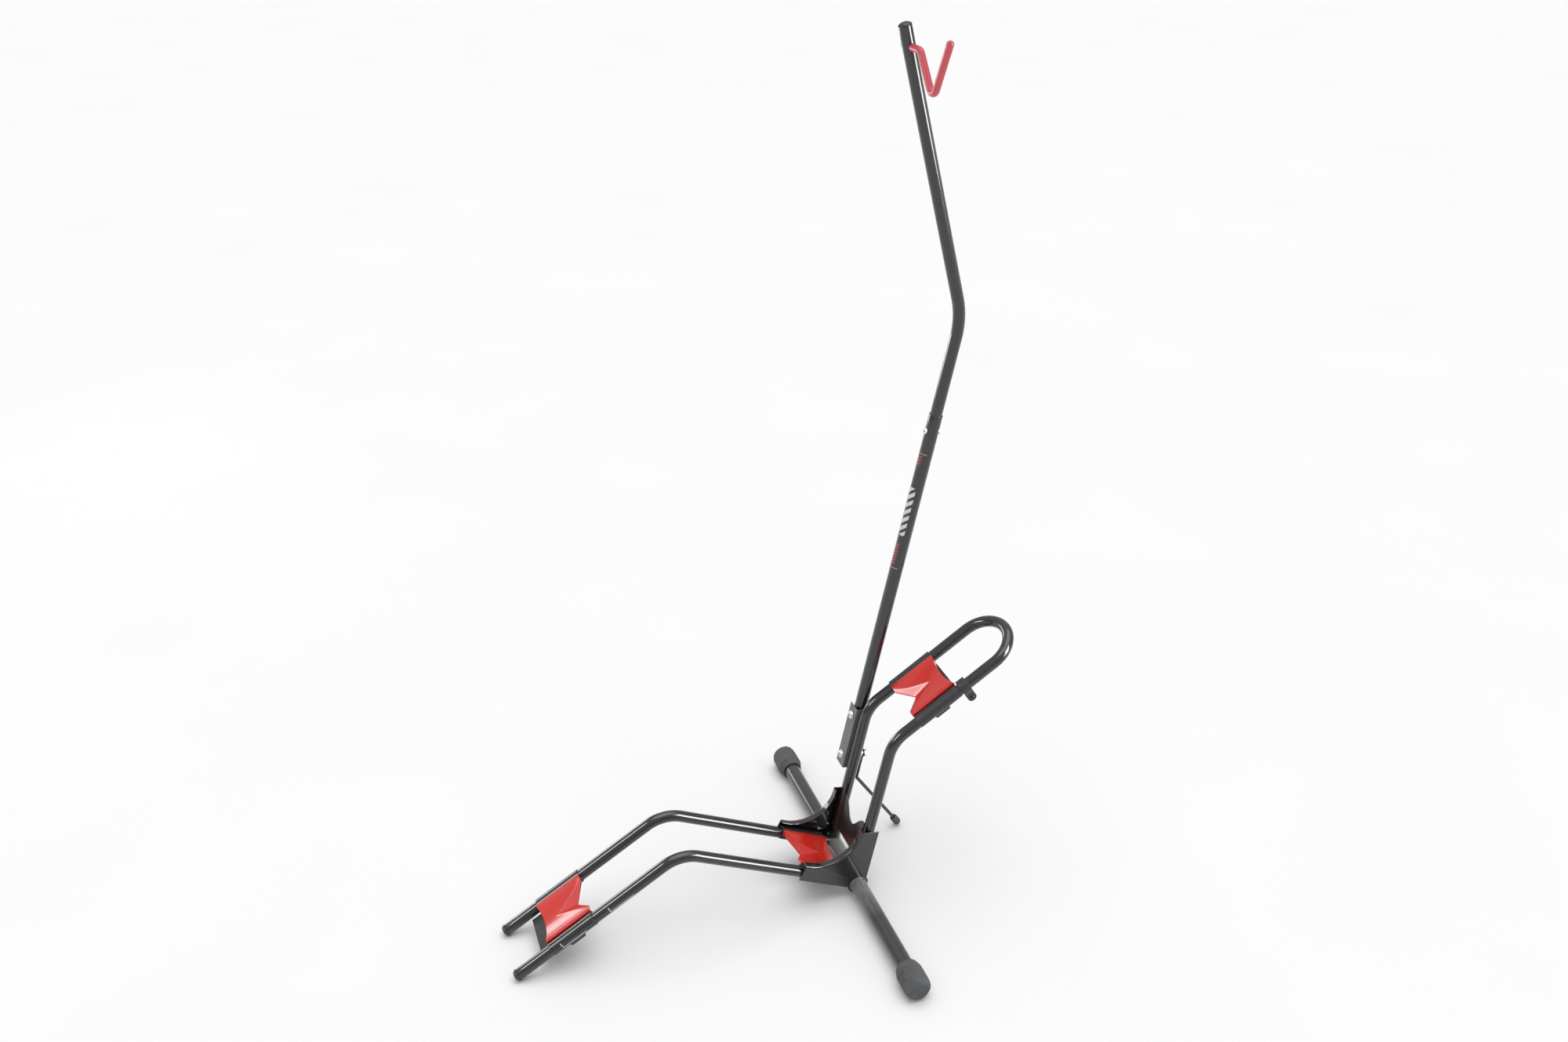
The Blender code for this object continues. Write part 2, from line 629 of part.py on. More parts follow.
def build_stay(post):
    """The stay: an eye on the lower bolt, a cranked rod and a rubber boot on the floor."""
    station = BOLT_STATIONS["lower"]
    pivot = frame_empty("stay_pivot", post, (station, POLE_Y, -STAY_FACE))
    tip = pivot.matrix_world.inverted() @ Vector((BAR_X + STAY_TIP[0], POLE_Y, STAY_TIP[1]))
    kink = Vector((STAY_KINK - station, 0, 0))
    begin = Vector((-0.0100, 0, 0))
    rod = solid_bar("stay_rod", rounded_path([begin, kink, tip], 0.012, 4), STAY_RADIUS, pivot, 12)
    eye = arc_points(Vector((0, 0)), EYE_RADIUS, math.radians(145), math.radians(-145), 10)
    eye += [Vector((-0.0180, -0.0035)), Vector((-0.0180, 0.0035))]
    boolean(rod, outline_plate("join_stay_eye", [eye], STAY_EYE, pivot), "UNION")
    boolean(rod, cylinder("cut_stay_eye", BOLT_RADIUS + GAP, 0.020, pivot, (0, 0, 0), (0, 0, 0), 12))
    dress(rod, BLACK)

    aim = (tip - kink).to_track_quat("Z", "Y").to_euler()
    bore = STAY_RADIUS + GAP
    profile = [(0.0, 0.0115), (0.0050, 0.0112), (0.0078, 0.0080), (0.0080, -0.0060),
               (0.0068, -0.0120), (bore, -0.0120), (bore, GAP), (0.0, GAP)]
    boot = turned("stay_boot", profile, pivot, tip, aim, 14)
    dress(boot, GREY_RUBBER)


# ---------------------------------------------------------------- pads and carriers
def build_pad(name, rail, middle, way, apron, trim=False):
    """A saddle pad on a carrier that is sleeved on both tubes.

    rail is the tubes' frame and middle the pad's place along it. way is +1 with the notched end
    towards +X and -1 with it towards -X. apron is how far the carrier's plate reaches past the
    scooped end, and trim flattens the sleeves' outer sides, to pass between the gussets.
    """
    seat = frame_empty(name + "_seat", rail, (middle, 0, 0))
    build_carrier(name, seat, way, apron, trim)
    bottom = PLATE_TOP + GAP
    pad = box(name + "_pad", (PAD_LENGTH, 2 * PAD_HALF, PAD_EDGE - bottom), seat,
              (0, 0, (PAD_EDGE + bottom) / 2))
    depth = PAD_EDGE - PAD_VALLEY
    groove = (PAD_LIP ** 2 + depth ** 2) / (2 * depth)
    boolean(pad, cylinder("cut_%s_groove" % name, groove, 0.20, seat, (0, 0, PAD_VALLEY + groove),
                          ALONG_X, 48))
    cut_vee(pad, name, seat, way)
    for side, sign in (("near", -1), ("far", 1)):
        boolean(pad, cylinder("cut_%s_%s" % (name, side), SLEEVE_RADIUS + GAP, 0.20, seat,
                              (0, sign * RAIL_Y, 0), ALONG_X, SIDES))
    half = PAD_LENGTH / 2
    mouth = PAD_MOUTH * (PAD_NOTCH + 0.010) / PAD_NOTCH
    notch = [(half + 0.010, mouth), (half - PAD_NOTCH, 0.0), (half + 0.010, -mouth)]
    scoop = [(-half - 0.010, -0.080), (-half + PAD_SCOOP, -0.008), (-half + PAD_SCOOP, 0.008),
             (-half - 0.010, 0.080)]
    for label, outline in (("notch", notch), ("scoop", scoop)):
        points = [(way * x, y) for x, y in outline]
        boolean(pad, outline_plate("cut_%s_%s" % (name, label), [points], 0.08, seat))
    dress(pad, RED)
    return seat


def cut_vee(pad, name, seat, way):
    """Cut the vee that sinks from the middle of a pad's hollow down to its notch."""
    valley = frame_empty(name + "_valley", seat, (way * VEE_START, 0, PAD_VALLEY),
                         -way * math.atan(VEE_FALL))
    reach = 0.0700
    rise = reach * VEE_SIDE * math.cos(math.atan(VEE_FALL))
    section = [(0.0, 0.0), (reach, rise), (-reach, rise)]
    boolean(pad, outline_plate("cut_%s_vee" % name, [section], 0.20, valley, (0, 0, 0),
                               SECTION_ALONG_X))


def build_carrier(name, seat, way, apron, trim):
    """The moulded carrier: two sleeves, a cross plate and a finger tab under each sleeve."""
    back = PAD_LENGTH / 2 + apron
    front = PAD_LENGTH / 2 - PAD_NOTCH - 0.004
    carrier = box(name + "_carrier", (front + back, 2 * RAIL_Y, CARRIER_PLATE), seat,
                  (way * (front - back) / 2, 0, PLATE_TOP - CARRIER_PLATE / 2))
    if apron:
        for side, sign in (("near", -1), ("far", 1)):
            boolean(carrier, box("cut_%s_apron_%s" % (name, side), (apron + 0.010, 0.040, 0.010),
                                 seat, (-way * (back - (apron - 0.010) / 2), sign * 0.065,
                                        PLATE_TOP)))
    for side, sign in (("near", -1), ("far", 1)):
        y = sign * RAIL_Y
        boolean(carrier, cylinder("join_%s_%s" % (name, side), SLEEVE_RADIUS, PAD_LENGTH - 0.002,
                                  seat, (0, y, 0), ALONG_X), "UNION")
        boolean(carrier, box("join_%s_tab_%s" % (name, side), (0.036, 0.010, 0.012), seat,
                             (0, y, -0.0140)), "UNION")
    for side, sign in (("near", -1), ("far", 1)):
        boolean(carrier, cylinder("cut_%s_bore_%s" % (name, side), RAIL_RADIUS + GAP, 0.20, seat,
                                  (0, sign * RAIL_Y, 0), ALONG_X))
        if trim:
            outside = RAIL_Y + RAIL_RADIUS - GAP
            boolean(carrier, box("cut_%s_side_%s" % (name, side), (0.14, 0.02, 0.06), seat,
                                 (0, sign * (outside + 0.010), 0)))
    dress(carrier, MOULDED)


def build_clip(seat):
    """The strap clip: a ring on the near wing with a drilled ear hanging below it."""
    centre = (CLIP_AT - UPPER_PAD, -RAIL_Y, 0)
    ring = cylinder("strap_clip", CLIP_RADIUS, CLIP_WIDTH, seat, centre, ALONG_X)
    half = CLIP_WIDTH / 2
    ear = arc_points(Vector((0, -CLIP_DROP)), half, math.pi, 2 * math.pi, 8)
    ear += [Vector((half, -0.0100)), Vector((-half, -0.0100))]
    tab = outline_plate("join_clip_ear", [ear], 0.0060, seat, centre, UPRIGHT)
    boolean(ring, tab, "UNION")
    boolean(ring, cylinder("cut_clip_bore", RAIL_RADIUS + GAP, 0.050, seat, centre, ALONG_X))
    drop = (centre[0], -RAIL_Y, -CLIP_DROP)
    boolean(ring, cylinder("cut_clip_hole", 0.0028, 0.030, seat, drop, ALONG_Y, 12))
    dress(ring, MOULDED)
    face = 0.0030 + GAP
    screw = turned("clip_screw", bolt_profile(0.0046, 0.0026, 0.0025, 2 * face + 0.0045), seat,
                   (drop[0], drop[1] - face, drop[2]), ALONG_MINUS_Y, 12)
    dress(screw, DARK)
    hex_nut("clip_nut", 0.0080, 0.0028, 0.0036, seat, (drop[0], drop[1] + face + 0.0018, drop[2]),
            ALONG_Y)


# ---------------------------------------------------------------- assembly
clear_scene()
PARTS = new_collection("bike_stand")
CUTTERS = new_collection("cutters")
ROOT = frame_empty("stand_root", None, (BAR_X, 0, 0))
SLOPE = frame_empty("slope_frame", ROOT, (HUMP_X, 0, HUMP_Z),
                    math.atan2(HUMP_Z - FRONT_Z, HUMP_X - FRONT_X))
REAR = frame_empty("rear_run_frame", ROOT, (HUMP_X, 0, HUMP_Z), math.atan2(BAR_Z - HUMP_Z, -HUMP_X))
POST = frame_empty("upright_frame", ROOT, (0, 0, BAR_Z), math.radians(90) - LEAN)
WING = frame_empty("wing_frame", ROOT, (LOOP_CORNER * math.sin(LEAN), 0,
                                        BAR_Z + LOOP_CORNER * math.cos(LEAN)), LOOP_PITCH)
MAST = frame_empty("mast_frame", POST, (MAST_BEND + MAST_TOP * math.cos(MAST_KICK), POLE_Y,
                                        MAST_TOP * math.sin(MAST_KICK)), MAST_KICK)
build_bar(ROOT)
build_rails(ROOT, SLOPE, POST)
build_loop(ROOT)
build_gussets(ROOT)
build_web(POST)
build_rivets(ROOT)
build_channel(POST)
build_channel_bolts(POST)
build_pole(POST)
build_mast(POST, MAST)
build_hook(MAST)
build_stay(POST)
build_pad("front", SLOPE, -FRONT_PAD, 1, 0.0240)
build_pad("base", REAR, BASE_PAD, -1, 0.0, trim=True)
UPPER_SEAT = build_pad("upper", WING, UPPER_PAD, -1, 0.0)
build_clip(UPPER_SEAT)
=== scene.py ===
"""Bicycle repair and storage stand: every piece's finished surface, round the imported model.

The stand is in metres, +Z up. +X runs in the wheel's plane towards the loop, and +Y from the open
side towards the pole. Each sub-assembly is a class that holds its sizes and makes its own pieces.
"""

import json
import logging
import math
from dataclasses import dataclass, field, replace
from enum import Enum
from typing import Any, Callable, Iterable, Sequence

import bmesh
import bpy
import numpy as np
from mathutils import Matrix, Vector

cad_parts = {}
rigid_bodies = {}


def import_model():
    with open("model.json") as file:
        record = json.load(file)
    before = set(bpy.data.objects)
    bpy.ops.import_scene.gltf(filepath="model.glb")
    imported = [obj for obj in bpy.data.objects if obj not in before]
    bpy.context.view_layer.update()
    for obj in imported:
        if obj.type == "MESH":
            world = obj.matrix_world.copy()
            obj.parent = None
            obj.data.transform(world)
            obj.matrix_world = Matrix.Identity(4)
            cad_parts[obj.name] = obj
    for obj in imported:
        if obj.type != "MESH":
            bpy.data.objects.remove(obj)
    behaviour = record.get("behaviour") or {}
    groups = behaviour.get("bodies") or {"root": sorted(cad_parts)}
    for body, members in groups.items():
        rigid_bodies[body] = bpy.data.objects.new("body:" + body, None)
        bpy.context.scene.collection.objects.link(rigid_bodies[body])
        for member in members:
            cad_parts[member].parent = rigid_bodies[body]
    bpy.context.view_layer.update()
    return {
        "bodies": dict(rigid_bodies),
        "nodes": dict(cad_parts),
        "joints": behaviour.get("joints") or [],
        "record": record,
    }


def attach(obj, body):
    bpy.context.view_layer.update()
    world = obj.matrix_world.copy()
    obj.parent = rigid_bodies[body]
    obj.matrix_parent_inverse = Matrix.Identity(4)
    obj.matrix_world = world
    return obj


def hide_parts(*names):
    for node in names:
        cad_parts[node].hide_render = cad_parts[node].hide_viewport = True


LOG = logging.getLogger("bike_stand")
Array = np.ndarray
ALONG_Y = np.array([0.0, 1.0, 0.0])
GAP = 0.0003
SMOOTH_ANGLE = math.radians(35)
BEVEL_ANGLE = math.radians(38)
SIDES = (("near", -1.0), ("far", 1.0))
TUBE_STEP = 0.03


def unit(vectors: Any) -> Array:
    """Vectors divided by their lengths, which run along the last axis."""
    return vectors / np.linalg.norm(vectors, axis=-1, keepdims=True)


def side_of(way: Array) -> Array:
    """A direction that is well away from a given one: Y, or X where that one is near Y."""
    return ALONG_Y if abs(way[1]) < 0.9 else np.array([1.0, 0.0, 0.0])


def smooth_step(share: Array) -> Array:
    """A share of the way, 3s^2 - 2s^3, which starts and ends level."""
    return share * share * (3 - 2 * share)


def round_angles(sides: int) -> Array:
    """Evenly spaced angles round a circle."""
    return np.linspace(0.0, 2 * math.pi, sides, endpoint=False)


def rings(rows: Iterable[tuple[Any, Any]], angle: Array) -> Array:
    """Points (r cos(angle), r sin(angle), height) for rows of a radius and a height.

    Each radius and each height is one number, or one for each angle.
    """
    ones = np.ones(len(angle))
    return np.stack([np.stack([r * np.cos(angle), r * np.sin(angle), z * ones], axis=-1)
                     for r, z in rows])


# ------------------------------------------------------------------ frames and the shared layout
@dataclass(frozen=True)
class Axes:
    """A frame whose X rises at a pitch in the X-Z plane, and whose Y is the stand's own Y."""

    origin: tuple[float, float, float]
    pitch: float = 0.0

    @property
    def matrix(self) -> Array:
        """The frame's X, Y and Z directions, as columns."""
        c, s = math.cos(self.pitch), math.sin(self.pitch)
        return np.array([[c, 0.0, -s], [0.0, 1.0, 0.0], [s, 0.0, c]])

    def place(self, points: Any) -> Array:
        """Carry points of this frame to the stand's frame."""
        return np.asarray(points, dtype=float) @ self.matrix.T + np.array(self.origin)

    def shifted(self, x: float, y: float = 0.0, z: float = 0.0, pitch: float = 0.0) -> "Axes":
        """A frame at a point of this one, turned by a further pitch."""
        return Axes(tuple(self.place([x, y, z])), self.pitch + pitch)


@dataclass(frozen=True)
class Spindle:
    """A frame for turned pieces: a point and the direction of the axis they are turned about."""

    origin: Array
    axis: Array
    spin: float = 0.0

    def place(self, points: Array) -> Array:
        """Carry points from the turned piece's frame, whose Z is the axis, to the stand's."""
        w = unit(np.asarray(self.axis, dtype=float))
        u = unit(np.cross(side_of(w), w))
        v = np.cross(w, u)
        c, s = math.cos(self.spin), math.sin(self.spin)
        turn = np.stack([c * u + s * v, c * v - s * u, w])
        return points @ turn + np.asarray(self.origin)


@dataclass(frozen=True)
class Layout:
    """Sizes that several sub-assemblies share, as the solids have them."""

    bar_x: float = 0.1750
    bar_z: float = 0.026 * math.cos(math.pi / 24)
    bar_radius: float = 0.0165
    tube: float = 0.0111
    rail_y: float = 0.0593
    gusset_sheet: float = 0.0025
    bend: float = 0.070
    hump: tuple[float, float] = (-0.3555, 0.2059)
    front: tuple[float, float] = (-0.6731, 0.0122)
    lean: float = math.radians(11.85)
    loop_corner: float = 0.3310
    loop_pitch: float = math.radians(33.5)
    pole_y: float = 0.0870
    pole_radius: float = 0.0127
    pole_span: tuple[float, float] = (0.1850, 0.9430)
    mast_bend: float = 1.1260
    mast_top: float = 0.5080
    mast_kick: float = math.radians(26.75)

    @property
    def bar(self) -> Axes:
        """The cross bar's middle."""
        return Axes((self.bar_x, 0.0, self.bar_z))

    @property
    def slope(self) -> Axes:
        """The rails' front slope: X climbs to the crown, which is the origin."""
        run, rise = self.hump[0] - self.front[0], self.hump[1] - self.front[1]
        return Axes((self.bar_x + self.hump[0], 0.0, self.hump[1]), math.atan2(rise, run))

    @property
    def rear(self) -> Axes:
        """The rails' rear run: X falls from the crown to the cross bar."""
        pitch = math.atan2(self.bar_z - self.hump[1], -self.hump[0])
        return Axes((self.bar_x + self.hump[0], 0.0, self.hump[1]), pitch)

    @property
    def post(self) -> Axes:
        """The uprights and the pole: X climbs from the cross bar."""
        return Axes((self.bar_x, 0.0, self.bar_z), math.radians(90) - self.lean)

    @property
    def wing(self) -> Axes:
        """The loop's wings: X climbs from their bend."""
        return Axes(tuple(self.post.place([self.loop_corner, 0.0, 0.0])), self.loop_pitch)

    @property
    def mast(self) -> Axes:
        """The mast's upper part: the origin is its top."""
        along, off = math.cos(self.mast_kick), math.sin(self.mast_kick)
        return self.post.shifted(self.mast_bend + self.mast_top * along, self.pole_y,
                                 self.mast_top * off, self.mast_kick)


LAYOUT = Layout()


# ------------------------------------------------------------------ surfaces
@dataclass
class Shell:
    """A surface as an array of points and a list of faces."""

    points: Array
    faces: list[list[int]]

    @staticmethod
    def grid(points: Array, closed_rows: bool = False, capped: bool = False) -> "Shell":
        """Join a grid of points with four-sided faces; each row closes on itself.

        Args:
            points: rows x columns x 3.
            closed_rows: whether the last row joins the first.
            capped: whether the first and last rows are each filled with one face.

        Returns:
            The shell.
        """
        rows, cols = points.shape[:2]
        i = np.arange(rows if closed_rows else rows - 1)[:, None]
        j = np.arange(cols)[None, :]
        up, on = (i + 1) % rows, (j + 1) % cols
        quads = np.stack([i * cols + j, i * cols + on, up * cols + on, up * cols + j], axis=-1)
        faces = quads.reshape(-1, 4).tolist()
        if capped:
            faces.append(list(range(cols))[::-1])
            faces.append(list(range((rows - 1) * cols, rows * cols)))
        return Shell(points.reshape(-1, 3), faces)

    @staticmethod
    def joined(shells: Iterable["Shell"]) -> "Shell":
        """Several shells as one."""
        points: list[Array] = []
        faces: list[list[int]] = []
        count = 0
        for shell in shells:
            points.append(shell.points)
            faces.extend([[k + count for k in face] for face in shell.faces])
            count += len(shell.points)
        return Shell(np.concatenate(points), faces)

    def piece(self, name: str, bevel: float = 0.0, segments: int = 3) -> bpy.types.Object:
        """Make the shell an object, with closed poles, outward faces and smooth round sides.

        Args:
            name: the piece's name.
            bevel: width of a Bevel on its sharp edges, or 0 for none.
            segments: how many steps the bevel has.

        Returns:
            The object, at the origin.
        """
        mesh = bpy.data.meshes.new(name)
        mesh.from_pydata(self.points.tolist(), [], self.faces)
        shape = bmesh.new()
        shape.from_mesh(mesh)
        bmesh.ops.remove_doubles(shape, verts=shape.verts, dist=1e-6)
        bmesh.ops.recalc_face_normals(shape, faces=shape.faces)
        shape.to_mesh(mesh)
        shape.free()
        mesh.validate()
        return stood_up(name, mesh, bevel, segments)


def stood_up(name: str, mesh: bpy.types.Mesh, bevel: float, segments: int) -> bpy.types.Object:
    """Make a mesh an object in the scene, smooth but for its sharp edges.

    Args:
        name: the piece's name.
        mesh: its mesh.
        bevel: width of a Bevel on its sharp edges, or 0 for none.
        segments: how many steps the bevel has.

    Returns:
        The object, at the origin.
    """
    mesh.shade_smooth()
    mesh.set_sharp_from_angle(angle=SMOOTH_ANGLE)
    piece = bpy.data.objects.new(name, mesh)
    bpy.context.scene.collection.objects.link(piece)
    if bevel:
        edge = piece.modifiers.new("edges", "BEVEL")
        edge.width = bevel
        edge.segments = segments
        edge.limit_method = "ANGLE"
        edge.angle_limit = BEVEL_ANGLE
        edge.harden_normals = True
    return piece


def rounded_path(corners: Any, radius: float, steps: int = 14) -> Array:
    """A path through corners, each one rounded by an arc of the bend radius.

    An arc starts radius x tan(half the turn) before its corner. Its points are the start, plus
    radius x sin(angle) ahead, plus radius x (1 - cos(angle)) towards the inside of the bend.
    """
    points = np.asarray(corners, dtype=float)
    parts = [points[:1]]
    for before, corner, after in zip(points[:-2], points[1:-1], points[2:]):
        into, out = unit(corner - before), unit(after - corner)
        turn = math.acos(float(np.clip(into @ out, -1.0, 1.0)))
        if turn < 1e-4:
            continue
        half = math.tan(turn / 2)
        room = 0.49 * min(np.linalg.norm(corner - before), np.linalg.norm(after - corner))
        bend = min(radius, room / half)
        inward = (out - into * (out @ into)) / math.sin(turn)
        angle = np.linspace(0.0, turn, steps + 1)[:, None]
        start = corner - into * bend * half
        parts.append(start + into * bend * np.sin(angle) + inward * bend * (1 - np.cos(angle)))
    parts.append(points[-1:])
    return np.concatenate(parts)


def spaced(path: Array, step: float) -> Array:
    """The same path with points added so that none are further apart than a step."""
    length = np.concatenate([[0.0], np.cumsum(np.linalg.norm(np.diff(path, axis=0), axis=1))])
    extra = np.linspace(0.0, length[-1], max(2, int(length[-1] / step) + 1))
    stops = np.unique(np.round(np.concatenate([length, extra]), 5))
    return np.stack([np.interp(stops, length, path[:, axis]) for axis in range(3)], axis=1)


def path_frames(path: Array) -> tuple[Array, Array, Array]:
    """Tangents of a path, and two directions across it that turn as little as they can."""
    tangent = unit(np.gradient(path, axis=0))
    across = np.empty_like(path)
    seed = side_of(tangent[0])
    for index, along in enumerate(tangent):
        seed = unit(seed - along * (seed @ along))
        across[index] = seed
    return tangent, across, np.cross(tangent, across)


def tube(path: Array, radius: float, sides: int = 40, rim: float = 0.0006,
         dome_end: bool = False) -> Shell:
    """A round bar along a path, with eased or domed ends.

    A ring at each point of the path is centre + radius x (cos(angle) across + sin(angle) up). Each
    end has further rings that close to a point over an eased edge.

    Args:
        path: points along the axis.
        radius: the bar's radius.
        sides: points round a ring.
        rim: radius of the eased edge.
        dome_end: whether the far end is a half sphere.

    Returns:
        The shell.
    """
    tangent, across, up = path_frames(path)
    ease = np.linspace(0.0, math.pi / 2, 5)
    count = len(path)
    first = [(0, 0.0, 0.0)] + [(0, rim * (1 - math.sin(a)), radius - rim * (1 - math.cos(a)))
                               for a in ease[::-1]]
    last = [(count - 1, -rim * (1 - math.sin(a)), radius - rim * (1 - math.cos(a))) for a in ease]
    if dome_end:
        turn = np.linspace(0.0, math.pi / 2, 10)
        last = [(count - 1, radius * math.sin(a) - radius, radius * math.cos(a)) for a in turn]
    last.append((count - 1, 0.0, 0.0))
    middle = [(k, 0.0, radius) for k in range(1, count - 1)]
    rings = np.array(first + middle + last)
    at = rings[:, 0].astype(int)
    centre = path[at] + tangent[at] * rings[:, 1:2]
    angle = round_angles(sides)
    spoke = (np.cos(angle)[None, :, None] * across[at][:, None, :]
             + np.sin(angle)[None, :, None] * up[at][:, None, :])
    return Shell.grid(centre[:, None, :] + rings[:, 2][:, None, None] * spoke)


def eased(profile: Sequence[tuple[float, float]], radius: float, steps: int = 4) -> Array:
    """A profile with its corners eased by small arcs."""
    flat = np.array([(r, z, 0.0) for r, z in profile])
    return rounded_path(flat, radius, steps)[:, :2]


def turned(profile: Array, spindle: Spindle, sides: int = 40, closed: bool = False,
           shape: Array | float = 1.0) -> Shell:
    """A profile carried round an axis.

    The point at an angle is (r x shape x cos(angle), r x shape x sin(angle), z), where shape is a
    factor for each angle, such as a hexagon's.

    Args:
        profile: rows of radius and height.
        spindle: where the axis is.
        sides: points round.
        closed: whether the profile is a loop, as a ring's is.
        shape: factor on the radius, one for each side or a row of them for each profile point.

    Returns:
        The shell.
    """
    radius = profile[:, 0][:, None] * shape * np.ones(sides)
    grid = rings(zip(radius, profile[:, 1]), round_angles(sides))
    return Shell.grid(spindle.place(grid), closed_rows=closed)


def arc(centre: tuple[float, float], radius: float, first: float, last: float,
        steps: int) -> Array:
    """Points of an arc in a plane, as rows of two numbers."""
    angle = np.linspace(first, last, steps + 1)
    return np.stack([centre[0] + radius * np.cos(angle), centre[1] + radius * np.sin(angle)], 1)


def outline_normals(outline: Array) -> Array:
    """Outward directions at the points of a closed outline that runs anticlockwise."""
    ahead = unit(np.roll(outline, -1, axis=0) - outline)
    mean = ahead + np.roll(ahead, 1, axis=0)
    mean /= np.linalg.norm(mean, axis=1)[:, None] + 1e-9
    return np.stack([mean[:, 1], -mean[:, 0]], axis=1)


def drilled_plate(outline: Array, hole: tuple[float, float, float], faces: tuple[float, float],
                  ease: Array | float = 0.0005) -> Array:
    """A flat plate with one round hole, whose outline can be seen whole from the hole's middle.

    Each row is a line round the plate: the hole's edge on one face, the outline a little inside it,
    the outline, the same on the other face, and the hole's edge again. The hole's points lie on
    the straight lines from its middle to the outline's.

    Args:
        outline: rows of two numbers, anticlockwise.
        hole: the hole's middle and radius.
        faces: heights of the two faces.
        ease: how far each point of the outline is eased back at the faces.

    Returns:
        A grid of rows x points x (first, second, height) for Shell.grid with closed_rows.
    """
    middle = np.array(hole[:2])
    edge = middle + unit(outline - middle) * hole[2]
    ease = np.ones(len(outline)) * ease
    inset = outline - outline_normals(outline) * ease[:, None]
    low, high = faces
    rows = [(edge, high), (inset, high), (outline, high - ease), (outline, low + ease),
            (inset, low), (edge, low)]
    return np.stack([np.column_stack([flat, height * np.ones(len(flat))]) for flat, height in rows])


def slab(outline: Array, low: float, high: float) -> Array:
    """Two rows round a flat outline at two heights, for Shell.grid with capped."""
    ones = np.ones(len(outline))
    return np.stack([np.column_stack([outline, height * ones]) for height in (low, high)])


# ------------------------------------------------------------------ shader maths
def math_method(operation: str, flipped: bool = False) -> Callable[["Socket", Any], "Socket"]:
    """A method that adds a Math node on a socket and another value.

    Args:
        operation: the Math node's operation.
        flipped: whether the other value comes first, as in a reflected form.

    Returns:
        The method.
    """

    def method(self: "Socket", other: Any) -> "Socket":
        """Add the node and return its value."""
        pair = (other, self) if flipped else (self, other)
        return self.graph.maths(operation, *pair)

    return method


class Socket:
    """A shader value that takes part in Python expressions; each operation adds one Math node."""

    def __init__(self, graph: "Graph", link: Any) -> None:
        """Hold a link of a graph."""
        self.graph = graph
        self.link = link

    __add__ = math_method("ADD")
    __radd__ = math_method("ADD", flipped=True)
    __sub__ = math_method("SUBTRACT")
    __rsub__ = math_method("SUBTRACT", flipped=True)
    __mul__ = math_method("MULTIPLY")
    __rmul__ = math_method("MULTIPLY", flipped=True)
    __gt__ = math_method("GREATER_THAN")
    __lt__ = math_method("LESS_THAN")
    either = math_method("MAXIMUM")

    def __abs__(self) -> "Socket":
        """Size without sign."""
        return self.graph.maths("ABSOLUTE", self)

    def fraction(self) -> "Socket":
        """What is left above the whole number below."""
        return self.graph.maths("FRACT", self)

    def between(self, low: float, high: float) -> "Socket":
        """1 where this lies between two numbers, else 0."""
        return (self > low) * (self < high)


